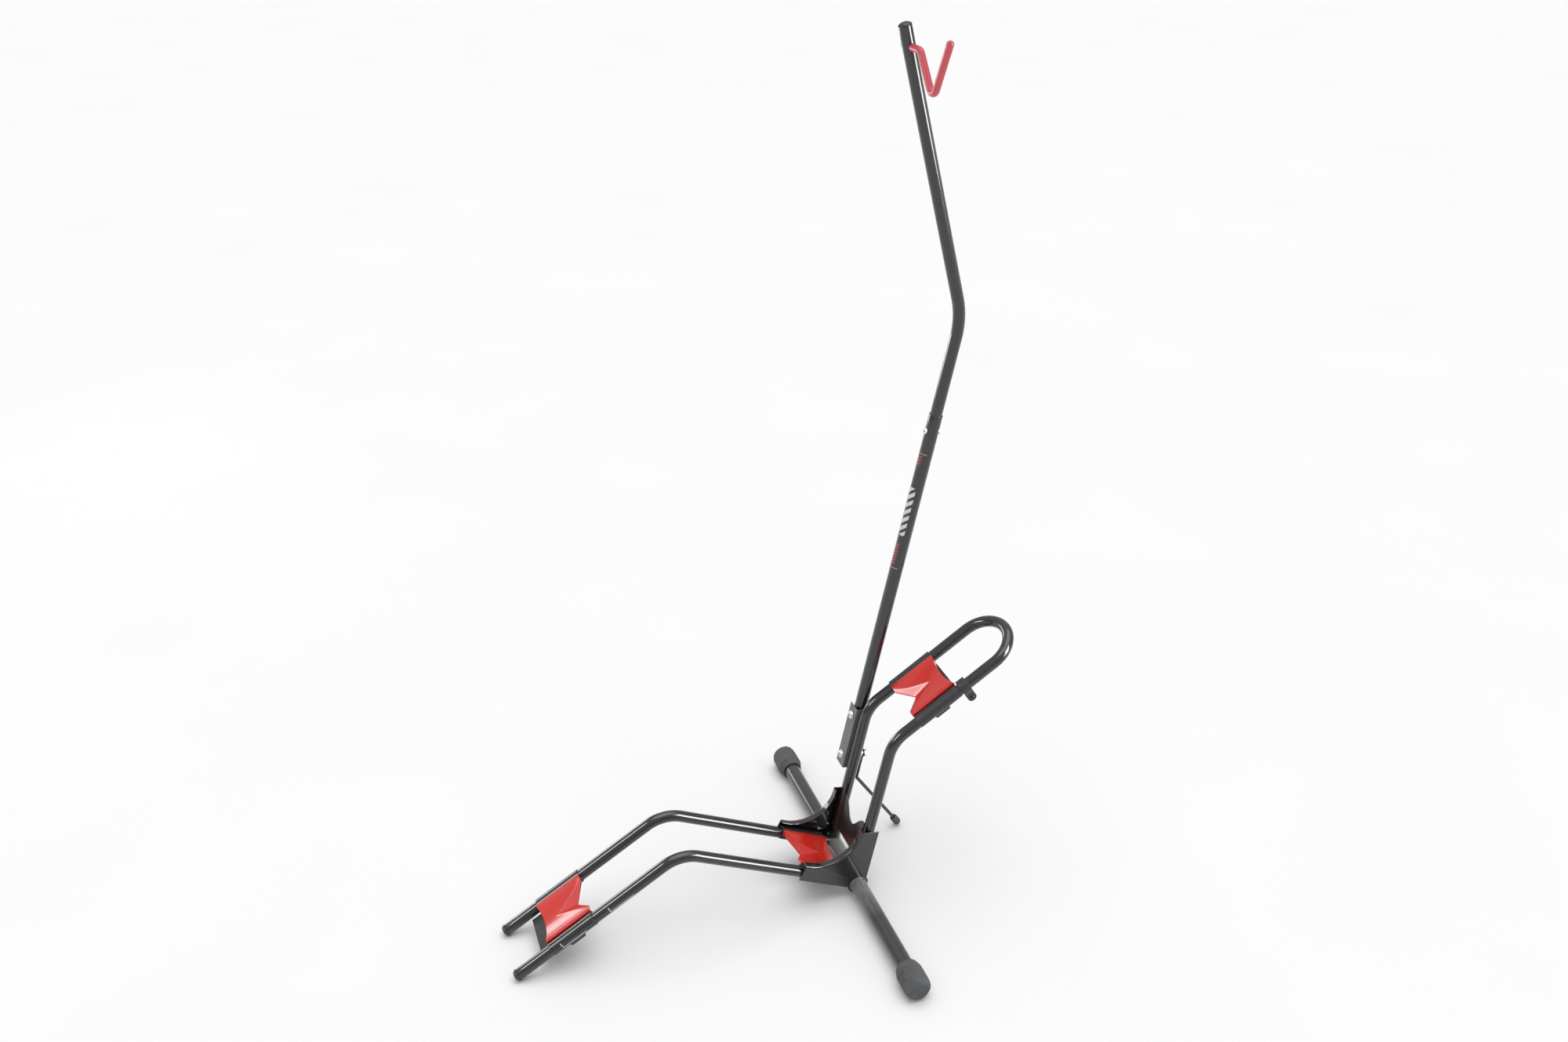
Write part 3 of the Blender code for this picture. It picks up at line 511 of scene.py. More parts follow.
class Graph:
    """The node tree of one material, or of the world."""

    def __init__(self, owner: Any, shader: str = "Principled BSDF") -> None:
        """Start from a new material or world and the shader that it comes with."""
        owner.use_nodes = True
        self.owner = owner
        self.tree = owner.node_tree
        self.shader = self.tree.nodes[shader]
        self.coords = self.node("ShaderNodeTexCoord", {}, {}, "Object")

    def node(self, kind: str, settings: dict[str, Any], inputs: dict[Any, Any],
             output: Any = 0) -> Socket:
        """Add a node.

        Args:
            kind: the node's type.
            settings: its properties, set before its sockets.
            inputs: values or links of its sockets, by name or number.
            output: which of its outputs is wanted.

        Returns:
            That output, as a value for expressions.
        """
        made = self.tree.nodes.new(kind)
        for key, value in settings.items():
            setattr(made, key, value)
        for key, value in inputs.items():
            self.feed(made.inputs[key], value)
        return Socket(self, made.outputs[output])

    def maths(self, operation: str, *values: Any) -> Socket:
        """Add a Math node on one or two values."""
        return self.node("ShaderNodeMath", {"operation": operation}, dict(enumerate(values)))

    def feed(self, socket: bpy.types.NodeSocket, value: Any) -> None:
        """Link a value to a socket, or set it."""
        if isinstance(value, Socket):
            self.tree.links.new(value.link, socket)
        elif isinstance(value, tuple) and len(value) == 3 and socket.type == "RGBA":
            socket.default_value = (*value, 1.0)
        else:
            socket.default_value = value

    def noise(self, scale: float, detail: float = 2.0, rough: float = 0.5,
              vector: Socket | None = None) -> Socket:
        """Noise from 0 to 1, with a scale in waves per metre."""
        return self.node("ShaderNodeTexNoise", {}, {"Vector": vector or self.coords, "Scale": scale,
                                                    "Detail": detail, "Roughness": rough})

    def ramp(self, value: Socket, low: float, high: float) -> Socket:
        """Stretch a range of a value to 0 to 1."""
        return self.node("ShaderNodeMapRange", {}, {"Value": value, "From Min": low,
                                                    "From Max": high})

    def mix(self, share: Any, first: Any, second: Any) -> Socket:
        """Mix two colours."""
        return self.node("ShaderNodeMix", {"data_type": "RGBA"}, {0: share, 6: first, 7: second}, 2)

    def local(self, axes: Axes, y: float = 0.0) -> tuple[Socket, Socket, Socket]:
        """Coordinates in a frame of the stand, measured from a line along its X at a given Y."""
        split = self.node("ShaderNodeSeparateXYZ", {}, {0: self.coords})
        x, across, z = (Socket(self, link) for link in split.link.node.outputs)
        matrix, origin = axes.matrix, axes.origin
        px, pz = x - origin[0], z - origin[2]
        return (px * matrix[0][0] + pz * matrix[2][0], across - y,
                px * matrix[0][2] + pz * matrix[2][2])

    def bump(self, height: Socket, strength: float, distance: float,
             under: Socket | None = None) -> Socket:
        """A normal from a height, over another bump if one is given."""
        inputs: dict[Any, Any] = {"Height": height, "Strength": strength, "Distance": distance}
        if under:
            inputs["Normal"] = under
        return self.node("ShaderNodeBump", {}, inputs)

    def finish(self, **inputs: Any) -> Any:
        """Set the shader's sockets, with _ for a space in a name, and return the tree's owner."""
        for key, value in inputs.items():
            name = key.replace("_", " ").title().replace("Ior", "IOR")
            self.feed(self.shader.inputs[name], value)
        return self.owner


# ------------------------------------------------------------------ finishes
class Marks(Enum):
    """What is printed or worn on a painted tube, and the painted highlight on the cross bar."""

    NONE = "none"
    PALE_MIDDLE = "pale middle"
    RAIL_SCALE = "rail scale"
    POLE_STRIPES = "pole stripes"


@dataclass(frozen=True)
class GlossPaint:
    """Powder coat: a near-black gloss with fine orange peel, faint mottling and a little dust."""

    name: str
    colour: tuple[float, float, float] = (0.011, 0.0113, 0.0125)
    roughness: float = 0.12
    coat: float = 0.6
    peel: float = 0.07
    marks: Marks = Marks.NONE
    slot: str = "black_paint"

    def material(self) -> bpy.types.Material:
        """Build the material."""
        graph = Graph(bpy.data.materials.new(self.name))
        cloud = graph.noise(11.0, 4.0)
        dust = graph.ramp(graph.noise(95.0, 5.0, 0.7), 0.56, 0.80)
        dark = tuple(0.75 * c for c in self.colour)
        light = tuple(1.35 * c for c in self.colour)
        colour = graph.mix(cloud, dark, light)
        colour = graph.mix(dust * 0.10, colour, (0.16, 0.16, 0.16))
        speck = graph.node("ShaderNodeTexVoronoi", {"feature": "F1"},
                           {"Vector": graph.coords, "Scale": 38.0, "Randomness": 1.0})
        colour = graph.mix((speck < 0.022) * 0.5, colour, (0.45, 0.45, 0.45))
        colour = self.printed(graph, colour)
        rough = self.roughness + graph.noise(26.0, 3.0) * 0.09 + dust * 0.12
        peel = graph.bump(graph.noise(650.0, 1.0), self.peel, 0.0004)
        wave = graph.bump(graph.noise(70.0, 1.0), 0.05, 0.001, peel)
        return graph.finish(base_color=colour, roughness=rough, normal=wave, coat_weight=self.coat,
                            coat_roughness=0.06)

    def printed(self, graph: Graph, colour: Socket) -> Socket:
        """Lay the printed marks over the paint's colour."""
        if self.marks is Marks.RAIL_SCALE:
            return self.rail_scale(graph, colour)
        if self.marks is Marks.POLE_STRIPES:
            return self.pole_stripes(graph, colour)
        if self.marks is Marks.PALE_MIDDLE:
            return self.pale_middle(graph, colour)
        return colour

    @staticmethod
    def pale_middle(graph: Graph, colour: Socket) -> Socket:
        """A paler, mottled stretch of the bar between the gussets and just beyond the near one: a
        painted highlight for the overhead light's sheen on the bar, with mottled wear over it.
        """
        _, across, _ = graph.local(LAYOUT.bar)
        # painted highlight: the paler stretch stands for the overhead light's sheen on the bar,
        # mottled like worn paint
        sheen_stretch = 1.0 - graph.ramp(abs(across + 0.030), 0.075, 0.150)
        mottle = graph.ramp(graph.noise(60.0, 5.0, 0.7), 0.30, 0.70)
        return graph.mix(sheen_stretch * (0.35 + mottle * 0.4), colour, (0.30, 0.30, 0.29))

    @staticmethod
    def rail_scale(graph: Graph, colour: Socket) -> Socket:
        """Two hooked lines with ticks beside them, along the near rail's slope.

        The angle round the tube is the arc tangent of the way out over the way up, and a line is
        where its distance from a given angle or length is less than half its width.
        """
        along, across, up = graph.local(LAYOUT.slope, -LAYOUT.rail_y)
        angle = graph.maths("ARCTAN2", across * -1.0, up)
        mask = along * 0.0
        for stop, end in ((-0.1646, -0.1115), (-0.2735, -0.2205)):
            tick = (abs(along - stop) < 0.0010) * angle.between(0.85, 1.74)
            line = (abs(angle - 1.74) < 0.075) * along.between(stop, end)
            scale = ((along * 240.0).fraction() < 0.42) * along.between(stop + 0.020, end - 0.010)
            mask = mask.either(tick).either(line).either(scale * angle.between(1.88, 2.12) * 0.8)
        return graph.mix(mask * 0.85, colour, (0.62, 0.63, 0.64))

    @staticmethod
    def pole_stripes(graph: Graph, colour: Socket) -> Socket:
        """Bands of red and white on the side of the pole, between two thin white lines."""
        along, across, up = graph.local(LAYOUT.post, LAYOUT.pole_y)
        angle = graph.maths("ARCTAN2", up, across * -1.0)
        front = angle.between(0.62, 1.75)
        thin = (abs(along - 0.8665) < 0.0006).either(abs(along - 0.6320) < 0.0006)
        bars = ((along * 62.0 + angle * 0.7).fraction() < 0.55) * along.between(0.700, 0.798)
        white = (thin * angle.between(0.35, 1.60) * 0.6).either(bars * front)
        blocks = along.between(0.8430, 0.8625).either(along.between(0.6380, 0.6840))
        slant = (along * 160.0 + angle * 1.3).fraction() < 0.62
        colour = graph.mix(white * 0.9, colour, (0.74, 0.74, 0.73))
        return graph.mix(blocks * slant * angle.between(1.00, 1.80) * 0.9, colour,
                         (0.45, 0.030, 0.028))


@dataclass(frozen=True)
class Moulding:
    """Moulded plastic: a fine spark-eroded grain, slight flow marks and rubbed high spots."""

    name: str
    colour: tuple[float, float, float]
    roughness: float = 0.40
    grain: float = 0.12
    coat: float = 0.0
    rub: float = 0.05
    marks: Marks = Marks.NONE
    slot: str = "moulded_black"

    def material(self) -> bpy.types.Material:
        """Build the material."""
        graph = Graph(bpy.data.materials.new(self.name))
        flow = graph.noise(9.0, 3.0)
        dark = tuple(0.86 * c for c in self.colour)
        light = tuple(min(1.0, 1.10 * c) for c in self.colour)
        colour = graph.mix(flow, dark, light)
        rub = graph.ramp(graph.noise(120.0, 4.0, 0.65), 0.58, 0.78)
        pale = tuple(min(1.0, 0.35 + 0.6 * c) for c in self.colour)
        colour = graph.mix(rub * self.rub, colour, pale)
        if self.marks is Marks.RAIL_SCALE:
            colour = GlossPaint.rail_scale(graph, colour)
        rough = self.roughness + graph.noise(40.0, 3.0) * 0.10 + rub * 0.10
        grain = graph.bump(graph.noise(1400.0, 2.0), self.grain, 0.0002)
        soft = graph.bump(flow, 0.10, 0.001, grain)
        return graph.finish(base_color=colour, roughness=rough, normal=soft, coat_weight=self.coat,
                            coat_roughness=0.10)


@dataclass(frozen=True)
class Rubber:
    """Grey rubber: matt, dusty in the hollows, with fine rings round the foot."""

    name: str
    colour: tuple[float, float, float] = (0.060, 0.062, 0.065)
    ring: float = 900.0
    slot: str = "grey_rubber"

    def material(self) -> bpy.types.Material:
        """Build the material."""
        graph = Graph(bpy.data.materials.new(self.name))
        patch = graph.noise(30.0, 5.0, 0.65)
        light = tuple(1.9 * c for c in self.colour)
        colour = graph.mix(graph.ramp(patch, 0.35, 0.75), self.colour, light)
        _, across, _ = graph.local(LAYOUT.bar)
        rib = graph.maths("SINE", across * self.ring * 6.2832)
        fine = graph.bump(graph.noise(900.0, 3.0, 0.7), 0.35, 0.0003)
        ribbed = graph.bump(rib, 0.12, 0.0002, fine)
        return graph.finish(base_color=colour, roughness=0.72 + patch * 0.15, normal=ribbed)


@dataclass(frozen=True)
class Zinc:
    """Bright zinc plate: fine turning marks, cloudy passivation and a few dull spots."""

    name: str
    colour: tuple[float, float, float] = (0.74, 0.745, 0.76)
    roughness: float = 0.22
    slot: str = "zinc_steel"

    def material(self) -> bpy.types.Material:
        """Build the material."""
        graph = Graph(bpy.data.materials.new(self.name))
        cloud = graph.noise(160.0, 4.0)
        warm = tuple(c * k for c, k in zip(self.colour, (0.92, 0.86, 0.74)))
        colour = graph.mix(graph.ramp(cloud, 0.45, 0.85) * 0.5, self.colour, warm)
        rough = self.roughness + cloud * 0.20
        fine = graph.bump(graph.noise(2600.0, 2.0), 0.15, 0.0001)
        return graph.finish(base_color=colour, metallic=1.0, roughness=rough, normal=fine)


PAINT = GlossPaint("gloss_black_paint")
RAIL_PAINT = GlossPaint("gloss_black_paint_rail_scale", marks=Marks.RAIL_SCALE)
POLE_PAINT = GlossPaint("gloss_black_paint_pole_stripes", marks=Marks.POLE_STRIPES)
# the cross bar's paint has a painted highlight with mottled wear in its middle stretch
BAR_PAINT = GlossPaint("satin_grey_paint", (0.034, 0.035, 0.036), 0.17, 0.40,
                       marks=Marks.PALE_MIDDLE)
WEB_PAINT = GlossPaint("satin_brown_black_paint", (0.022, 0.0195, 0.018), 0.30, 0.20,
                       slot="web_paint")
CHANNEL_PAINT = GlossPaint("grey_channel_paint", (0.120, 0.121, 0.124), 0.36, 0.10)
RED_PAD = Moulding("scarlet_pad_plastic", (0.610, 0.022, 0.014), 0.19, 0.05, 0.38, 0.02,
                   slot="red_pad")
BLACK_MOULDING = Moulding("black_moulding", (0.028, 0.029, 0.031), 0.30, 0.14)
SCREW_BLACK = replace(BLACK_MOULDING, slot="black_screw")
SCALED_MOULDING = Moulding("black_moulding_rail_scale", (0.016, 0.0165, 0.018), 0.20, 0.08, 0.3,
                           marks=Marks.RAIL_SCALE)
CORAL_SLEEVE = Moulding("coral_hook_sleeve", (0.600, 0.062, 0.088), 0.36, 0.08, 0.20, 0.08,
                        slot="hook_coating")
GREY_RUBBER = Rubber("grey_rubber")
ZINC = Zinc("zinc_plate")
RIVET_ZINC = Zinc("dull_zinc_rivets", (0.86, 0.86, 0.87), 0.42)


class Finisher:
    """Dresses pieces, so that each finish is built once."""

    def __init__(self) -> None:
        """Start with no material built."""
        self.built: dict[str, bpy.types.Material] = {}

    def dress(self, piece: bpy.types.Object, finish: Any, body: str = "stand") -> None:
        """Give a piece its finish, attach it to its body, and hide the solid it is named after.

        Args:
            piece: the object, whose name is the solid's and one more word.
            finish: one of the finishes above, which knows its material slot.
            body: the body that it rides on.
        """
        if finish.name not in self.built:
            self.built[finish.name] = finish.material()
        piece.data.materials.clear()
        piece.data.materials.append(self.built[finish.name])
        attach(piece, body)
        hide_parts(piece.name.rpartition("_")[0])
        LOG.info("%s on %s", piece.name, body)


# ------------------------------------------------------------------ hardware
@dataclass(frozen=True)
class Hardware:
    """Bolts, nuts and rivets, made from a few sizes each."""

    finisher: Finisher

    @staticmethod
    def pan_head(spindle: Spindle, radius: float, height: float, shank: tuple[float, float],
                 washer: float = 0.0) -> Shell:
        """A domed head with a cross recess, over a washer and a shank.

        The dome's height at a radius is height x (0.25 + 0.75 (1 - (r/radius)^2) ^ 0.6). The recess
        takes a depth off it where the smaller of |x| and |y| is under the slot's half width and the
        larger is inside its reach, so it is a cross.

        Args:
            spindle: the face under the head, and the way it looks.
            radius: the head's radius.
            height: the head's height.
            shank: the shank's radius and length.
            washer: the washer's radius, or 0 for none.

        Returns:
            The shell.
        """
        base = 0.0012 if washer else 0.0
        share = np.concatenate([np.linspace(0.0, 0.62, 20), np.linspace(0.68, 1.0, 9)])
        angle = round_angles(64)
        x = radius * share[:, None] * np.cos(angle)
        y = radius * share[:, None] * np.sin(angle)
        dome = height * (0.25 + 0.75 * np.clip(1 - share ** 2, 0.0, 1.0) ** 0.6)[:, None]
        narrow = np.minimum(abs(x), abs(y)) < 0.11 * radius
        inside = np.maximum(abs(x), abs(y)) < 0.52 * radius
        cut = 0.45 * height * (narrow & inside)
        top = np.stack([x, y, dome - cut + base], axis=-1)
        low = eased([(radius, base), (shank[0], base)], 0.0001)
        if washer:
            low = np.array([(radius, base), (washer - 0.0003, base), (washer, base - 0.0003),
                            (washer, 0.0), (shank[0], 0.0)])
        stem = np.concatenate([low, [(shank[0], -shank[1] + 0.0006), (shank[0] - 0.0006, -shank[1]),
                                     (0.0, -shank[1])]])
        return Shell.grid(spindle.place(np.concatenate([top, rings(stem, angle)])))

    @staticmethod
    def hex_nut(spindle: Spindle, across: float, bore: float, height: float) -> Shell:
        """A hexagonal nut, its corners turned off at 30 degrees.

        A hexagon's radius at an angle is half its width over the cosine of the angle from the
        middle of the nearest flat. A corner's face drops with its distance outside the flats.
        """
        angle = round_angles(72)
        flat = (angle + math.pi / 6) % (math.pi / 3) - math.pi / 6
        hexagon = across / 2 / np.cos(flat)
        drop = (hexagon - across / 2) * math.tan(math.radians(30))
        ring, full = across / 2 - 0.0002, 0.5 * height
        rows = [(bore, full), (ring, full), (hexagon, full - drop), (hexagon, drop - full),
                (ring, -full), (bore, -full)]
        return Shell.grid(spindle.place(rings(rows, angle)), closed_rows=True)

    def bolt(self, name: str, spindle: Spindle, radius: float, height: float,
             shank: tuple[float, float], washer: float = 0.0, body: str = "stand") -> None:
        """Make a bolt that replaces the solid of its name."""
        piece = self.pan_head(spindle, radius, height, shank, washer).piece(name + "_turned")
        self.finisher.dress(piece, ZINC, body)

    def nut(self, name: str, spindle: Spindle, across: float, bore: float, height: float,
            body: str = "stand") -> None:
        """Make a nut that replaces the solid of its name."""
        piece = self.hex_nut(spindle, across, bore, height).piece(name + "_forged")
        self.finisher.dress(piece, ZINC, body)

    def rivet(self, name: str, spindle: Spindle, radius: float, rise: float) -> None:
        """Make a domed rivet head that replaces the solid of its name."""
        turn = np.linspace(math.pi / 2, 0.0, 8)
        dome = np.stack([radius * np.cos(turn), 0.0002 + (rise - 0.0002) * np.sin(turn)], axis=1)
        profile = np.concatenate([dome, [(radius, 0.0), (0.0, 0.0)]])
        piece = turned(profile, spindle, 24).piece(name + "_dome")
        self.finisher.dress(piece, RIVET_ZINC)


# ------------------------------------------------------------------ base
@dataclass
class Base:
    """The cross bar on its rubber feet, the two rails and the wheel loop."""

    finisher: Finisher
    bar_half: float = 0.3540
    foot_inner: float = 0.3020
    foot_outer: float = 0.3640
    foot_radius: float = 0.0260
    flats: int = 12
    straight: float = 0.2450
    set_back: float = 0.0100

    def build(self) -> None:
        """Make every piece of the base."""
        self.cross_bar()
        for side, sign in SIDES:
            self.foot(side, sign)
            self.rail(side, sign)
            self.end_cap(side, sign)
        self.loop()

    def cross_bar(self) -> None:
        """The straight bar, with a fillet of weld where each gusset meets it."""
        axes = LAYOUT.bar
        ends = axes.place([[0, -self.bar_half, 0], [0, self.bar_half, 0]])
        shells = [tube(spaced(ends, TUBE_STEP), LAYOUT.bar_radius, 48)]
        for _, sign in SIDES:
            face = LAYOUT.rail_y + LAYOUT.tube + GAP + LAYOUT.gusset_sheet
            shells.append(self.weld(Spindle(axes.place([0, sign * face, 0]), sign * ALONG_Y),
                                    LAYOUT.bar_radius))
        piece = Shell.joined(shells).piece("cross_bar_tube")
        self.finisher.dress(piece, BAR_PAINT)

    @staticmethod
    def weld(spindle: Spindle, radius: float) -> Shell:
        """A painted weld bead round a tube: a ring whose width and height ripple.

        Its section is a quarter round from the tube to the face, and the section's radius is
        1 mm x (1 + 0.14 sin 34 angle + 0.10 sin 5 angle).
        """
        angle = round_angles(140)
        leg = 0.0010 * (1 + 0.14 * np.sin(34 * angle) + 0.10 * np.sin(5 * angle))
        turn = np.linspace(0.0, math.pi / 2, 6)
        outer = [(radius + leg * math.sin(t), leg * math.cos(t)) for t in turn]
        rows = outer + [(radius - 0.0005, -0.0004), (radius - 0.0005, leg)]
        return Shell.grid(spindle.place(rings(rows, angle)), closed_rows=True)

    def foot(self, side: str, sign: float) -> None:
        """A chunky rubber foot: a stepped collar, then broad flats that run out in a rounded end.

        On the skin its radius at an angle is a polygon's, R cos(half a flat) / cos(angle from the
        flat's middle), with a shallow groove at each corner. It fades to a circle at the ends.
        """
        length = self.foot_outer - self.foot_inner
        r = self.foot_radius
        bore = LAYOUT.bar_radius + GAP
        profile = eased([(0.0, length), (r - 0.0085, length), (r - 0.0020, length - 0.0055),
                         (r, length - 0.0150), (r, 0.0130), (r - 0.0022, 0.0115),
                         (r - 0.0022, 0.0055), (r - 0.0040, 0.0045), (r - 0.0040, 0.0), (bore, 0.0),
                         (bore, 0.0500), (0.0, 0.0500)], 0.0016, 5)
        sides = self.flats * 12
        angle = round_angles(sides)
        half = math.pi / self.flats
        off = (angle + half) % (2 * half) - half
        flat = math.cos(half) / np.cos(off)
        flat = flat - 0.022 * np.exp(-((half - abs(off)) / 0.035) ** 2)
        share = np.clip((profile[:, 0] - 0.0185) / 0.0045, 0.0, 1.0)[:, None]
        shape = 1.0 - share * (1.0 - flat[None, :])
        middle = LAYOUT.bar.place([0, sign * self.foot_inner, 0])
        shell = turned(profile, Spindle(middle, sign * ALONG_Y, math.pi / 2), sides, shape=shape)
        piece = shell.piece(f"rubber_foot_{side}_moulded")
        self.finisher.dress(piece, GREY_RUBBER)

    def rail(self, side: str, sign: float) -> None:
        """One bent rail, from the floor over the crown to the cross bar."""
        y = sign * LAYOUT.rail_y
        x = LAYOUT.bar_x
        corners = [(x + LAYOUT.front[0], y, LAYOUT.front[1]),
                   (x + LAYOUT.hump[0], y, LAYOUT.hump[1]), (x, y, LAYOUT.bar_z)]
        path = rounded_path(corners, LAYOUT.bend, 20)
        path[-1] = path[-1] - unit(path[-1] - path[-2]) * self.set_back
        finish = RAIL_PAINT if side == "near" else PAINT
        piece = tube(spaced(path, TUBE_STEP), LAYOUT.tube).piece(f"rail_{side}_bent")
        self.finisher.dress(piece, finish)

    def end_cap(self, side: str, sign: float) -> None:
        """The plug in a rail's front end: a rim, an eased shoulder and a nearly flat face."""
        slope = LAYOUT.slope
        start = -math.hypot(LAYOUT.hump[0] - LAYOUT.front[0], LAYOUT.hump[1] - LAYOUT.front[1])
        rim = LAYOUT.tube + 0.0006
        plug = 0.0090
        profile = eased([(0.0, 0.0088), (0.0050, 0.0084), (0.0096, 0.0066), (rim, 0.0035),
                         (rim, 0.0), (plug, 0.0), (plug, -0.0120), (0.0, -0.0120)], 0.0010)
        spindle = Spindle(slope.place([start - GAP, sign * LAYOUT.rail_y, 0]), -slope.matrix[:, 0])
        piece = turned(profile, spindle, 48).piece(f"rail_end_cap_{side}_moulded")
        self.finisher.dress(piece, BLACK_MOULDING)

    def loop(self) -> None:
        """One tube up the near side, round the loop's end and down the far side."""
        post, wing = LAYOUT.post, LAYOUT.wing
        y = LAYOUT.rail_y
        foot = post.place([self.set_back, -y, 0])
        corner = wing.place([0, -y, 0])
        start = wing.place([self.straight, -y, 0])
        near = rounded_path([foot, corner, start], LAYOUT.bend, 20)
        turn = np.linspace(0.0, math.pi, 49)[1:-1]
        end = wing.place(np.stack([self.straight + y * np.sin(turn), -y * np.cos(turn),
                                   np.zeros(len(turn))], axis=1))
        far = near[::-1] * np.array([1.0, -1.0, 1.0])
        path = spaced(np.concatenate([near, end, far]), TUBE_STEP)
        piece = tube(path, LAYOUT.tube).piece("wheel_loop_bent")
        self.finisher.dress(piece, PAINT)


@dataclass
class Gussets:
    """The gusset plates with their rolled lips, the web plate and the rivets."""

    finisher: Finisher
    hardware: Hardware
    arm: float = 0.1340
    rise: float = 0.1280
    under: float = 0.0116
    behind: float = 0.0155
    arc_radius: float = 0.0712
    heel: float = 0.0215
    inset: float = 0.0235
    lip: float = 0.0145
    sheet: float = LAYOUT.gusset_sheet
    fold: float = 0.0040
    rivet_off: float = 0.0165
    rivet_rail: tuple[float, float] = (0.1060, 0.0400)
    rivet_post: tuple[float, float] = (0.0380, 0.1040)
    rivet_size: tuple[float, float] = (0.0028, 0.0016)
    web_heights: tuple[float, float, float] = (0.0480, 0.0960, 0.1310)
    web_middle: float = 0.0060
    web_sheet: float = 0.0025
    directions: dict[str, Array] = field(default_factory=dict)

    def __post_init__(self) -> None:
        """Work out the directions along and off the rail and the upright, in X-Z."""
        down = math.atan2(LAYOUT.hump[1] - LAYOUT.bar_z, -LAYOUT.hump[0])
        lean = LAYOUT.lean
        self.directions = {"rail": np.array([-math.cos(down), math.sin(down)]),
                           "rail_up": np.array([math.sin(down), math.cos(down)]),
                           "post": np.array([math.sin(lean), math.cos(lean)]),
                           "front": np.array([-math.cos(lean), math.sin(lean)])}

    def build(self) -> None:
        """Make both gussets, the web and the rivets."""
        for side, sign in SIDES:
            self.gusset(side, sign)
            self.rivets(side, sign)
        self.web()

    def lip_line(self, inset: float) -> Array:
        """The hollow edge, at a distance inside it: two straights and the arc between."""
        d = self.directions
        reach = self.inset + self.arc_radius
        middle = np.linalg.solve(np.stack([d["rail_up"], d["front"]]), [reach, reach])
        first = math.atan2(-d["rail_up"][1], -d["rail_up"][0])
        last = math.atan2(-d["front"][1], -d["front"][0])
        curve = arc(tuple(middle), self.arc_radius + inset, first, last, 36)
        high = d["rail"] * self.arm + d["rail_up"] * (self.inset - inset)
        top = d["post"] * self.rise + d["front"] * (self.inset - inset)
        return np.concatenate([[high], curve, [top]])

    def gusset(self, side: str, sign: float) -> None:
        """A flat plate drilled for the bar, and the lip rolled inwards along its hollow edge.

        The lip's section runs from the plate round a quarter of radius fold, then straight inwards,
        and back the same way one sheet's thickness inside. It is carried along the hollow edge.
        """
        d = self.directions
        outer = LAYOUT.rail_y + LAYOUT.tube + GAP + self.sheet
        ahead, above = (math.sqrt(self.heel ** 2 - off ** 2) for off in (self.under, self.behind))
        heel_in = d["rail"] * ahead - d["rail_up"] * self.under
        heel_out = d["post"] * above - d["front"] * self.behind
        heel = arc((0.0, 0.0), self.heel, math.atan2(heel_in[1], heel_in[0]),
                   math.atan2(heel_out[1], heel_out[0]), 24)
        low = d["rail"] * self.arm - d["rail_up"] * self.under
        back = d["post"] * self.rise - d["front"] * self.behind
        hollow = self.lip_line(self.fold)[::-1]
        outline = np.concatenate([[low], heel, [back], hollow])
        ease = np.concatenate([np.full(len(heel) + 2, 0.0006), np.zeros(len(hollow))])
        grid = drilled_plate(outline, (0.0, 0.0, LAYOUT.bar_radius + 0.0001),
                             (outer - self.sheet, outer), ease)
        plate = Shell.grid(self.stood(grid, sign), closed_rows=True)
        shell = Shell.joined([plate, self.rolled_lip(outer, sign)])
        piece = shell.piece(f"gusset_{side}_pressed")
        self.finisher.dress(piece, PAINT)

    def rolled_lip(self, outer: float, sign: float) -> Shell:
        """The lip's closed section carried along the hollow edge."""
        turn = np.linspace(math.pi / 2, 0.0, 9)
        skin = [(self.fold - self.fold * math.cos(t), outer - self.fold + self.fold * math.sin(t))
                for t in turn]
        small = self.fold - self.sheet
        inner = [(self.fold - small * math.cos(t), outer - self.fold + small * math.sin(t))
                 for t in turn[::-1]]
        end = outer - self.lip
        tip = [(0.0, end + 0.0006), (0.0006, end), (self.sheet - 0.0006, end),
               (self.sheet, end + 0.0006)]
        section = skin + tip + inner
        line = np.stack([self.lip_line(inset) for inset, _ in section], axis=1)
        height = np.broadcast_to(np.array([y for _, y in section])[None, :, None],
                                 (*line.shape[:2], 1))
        grid = np.concatenate([line, height], axis=2)
        return Shell.grid(self.stood(grid, sign), capped=True)

    def stood(self, grid: Array, sign: float) -> Array:
        """Points of (X, Z, distance from the wheel's plane) set upright about the bar."""
        x, z, off = np.moveaxis(grid, -1, 0)
        return LAYOUT.bar.place(np.stack([x, sign * off, z], axis=-1))

    def rivets(self, side: str, sign: float) -> None:
        """Four bright rivets on the inner face."""
        d = self.directions
        spots = [d["rail"] * reach + d["rail_up"] * self.rivet_off for reach in self.rivet_rail]
        spots += [d["post"] * reach + d["front"] * self.rivet_off for reach in self.rivet_post]
        for number, spot in enumerate(spots, 1):
            point = self.stood(np.array([*spot, LAYOUT.rail_y + LAYOUT.tube + GAP]), sign)
            self.hardware.rivet(f"rivet_{side}_{number}", Spindle(point, -sign * ALONG_Y),
                                *self.rivet_size)

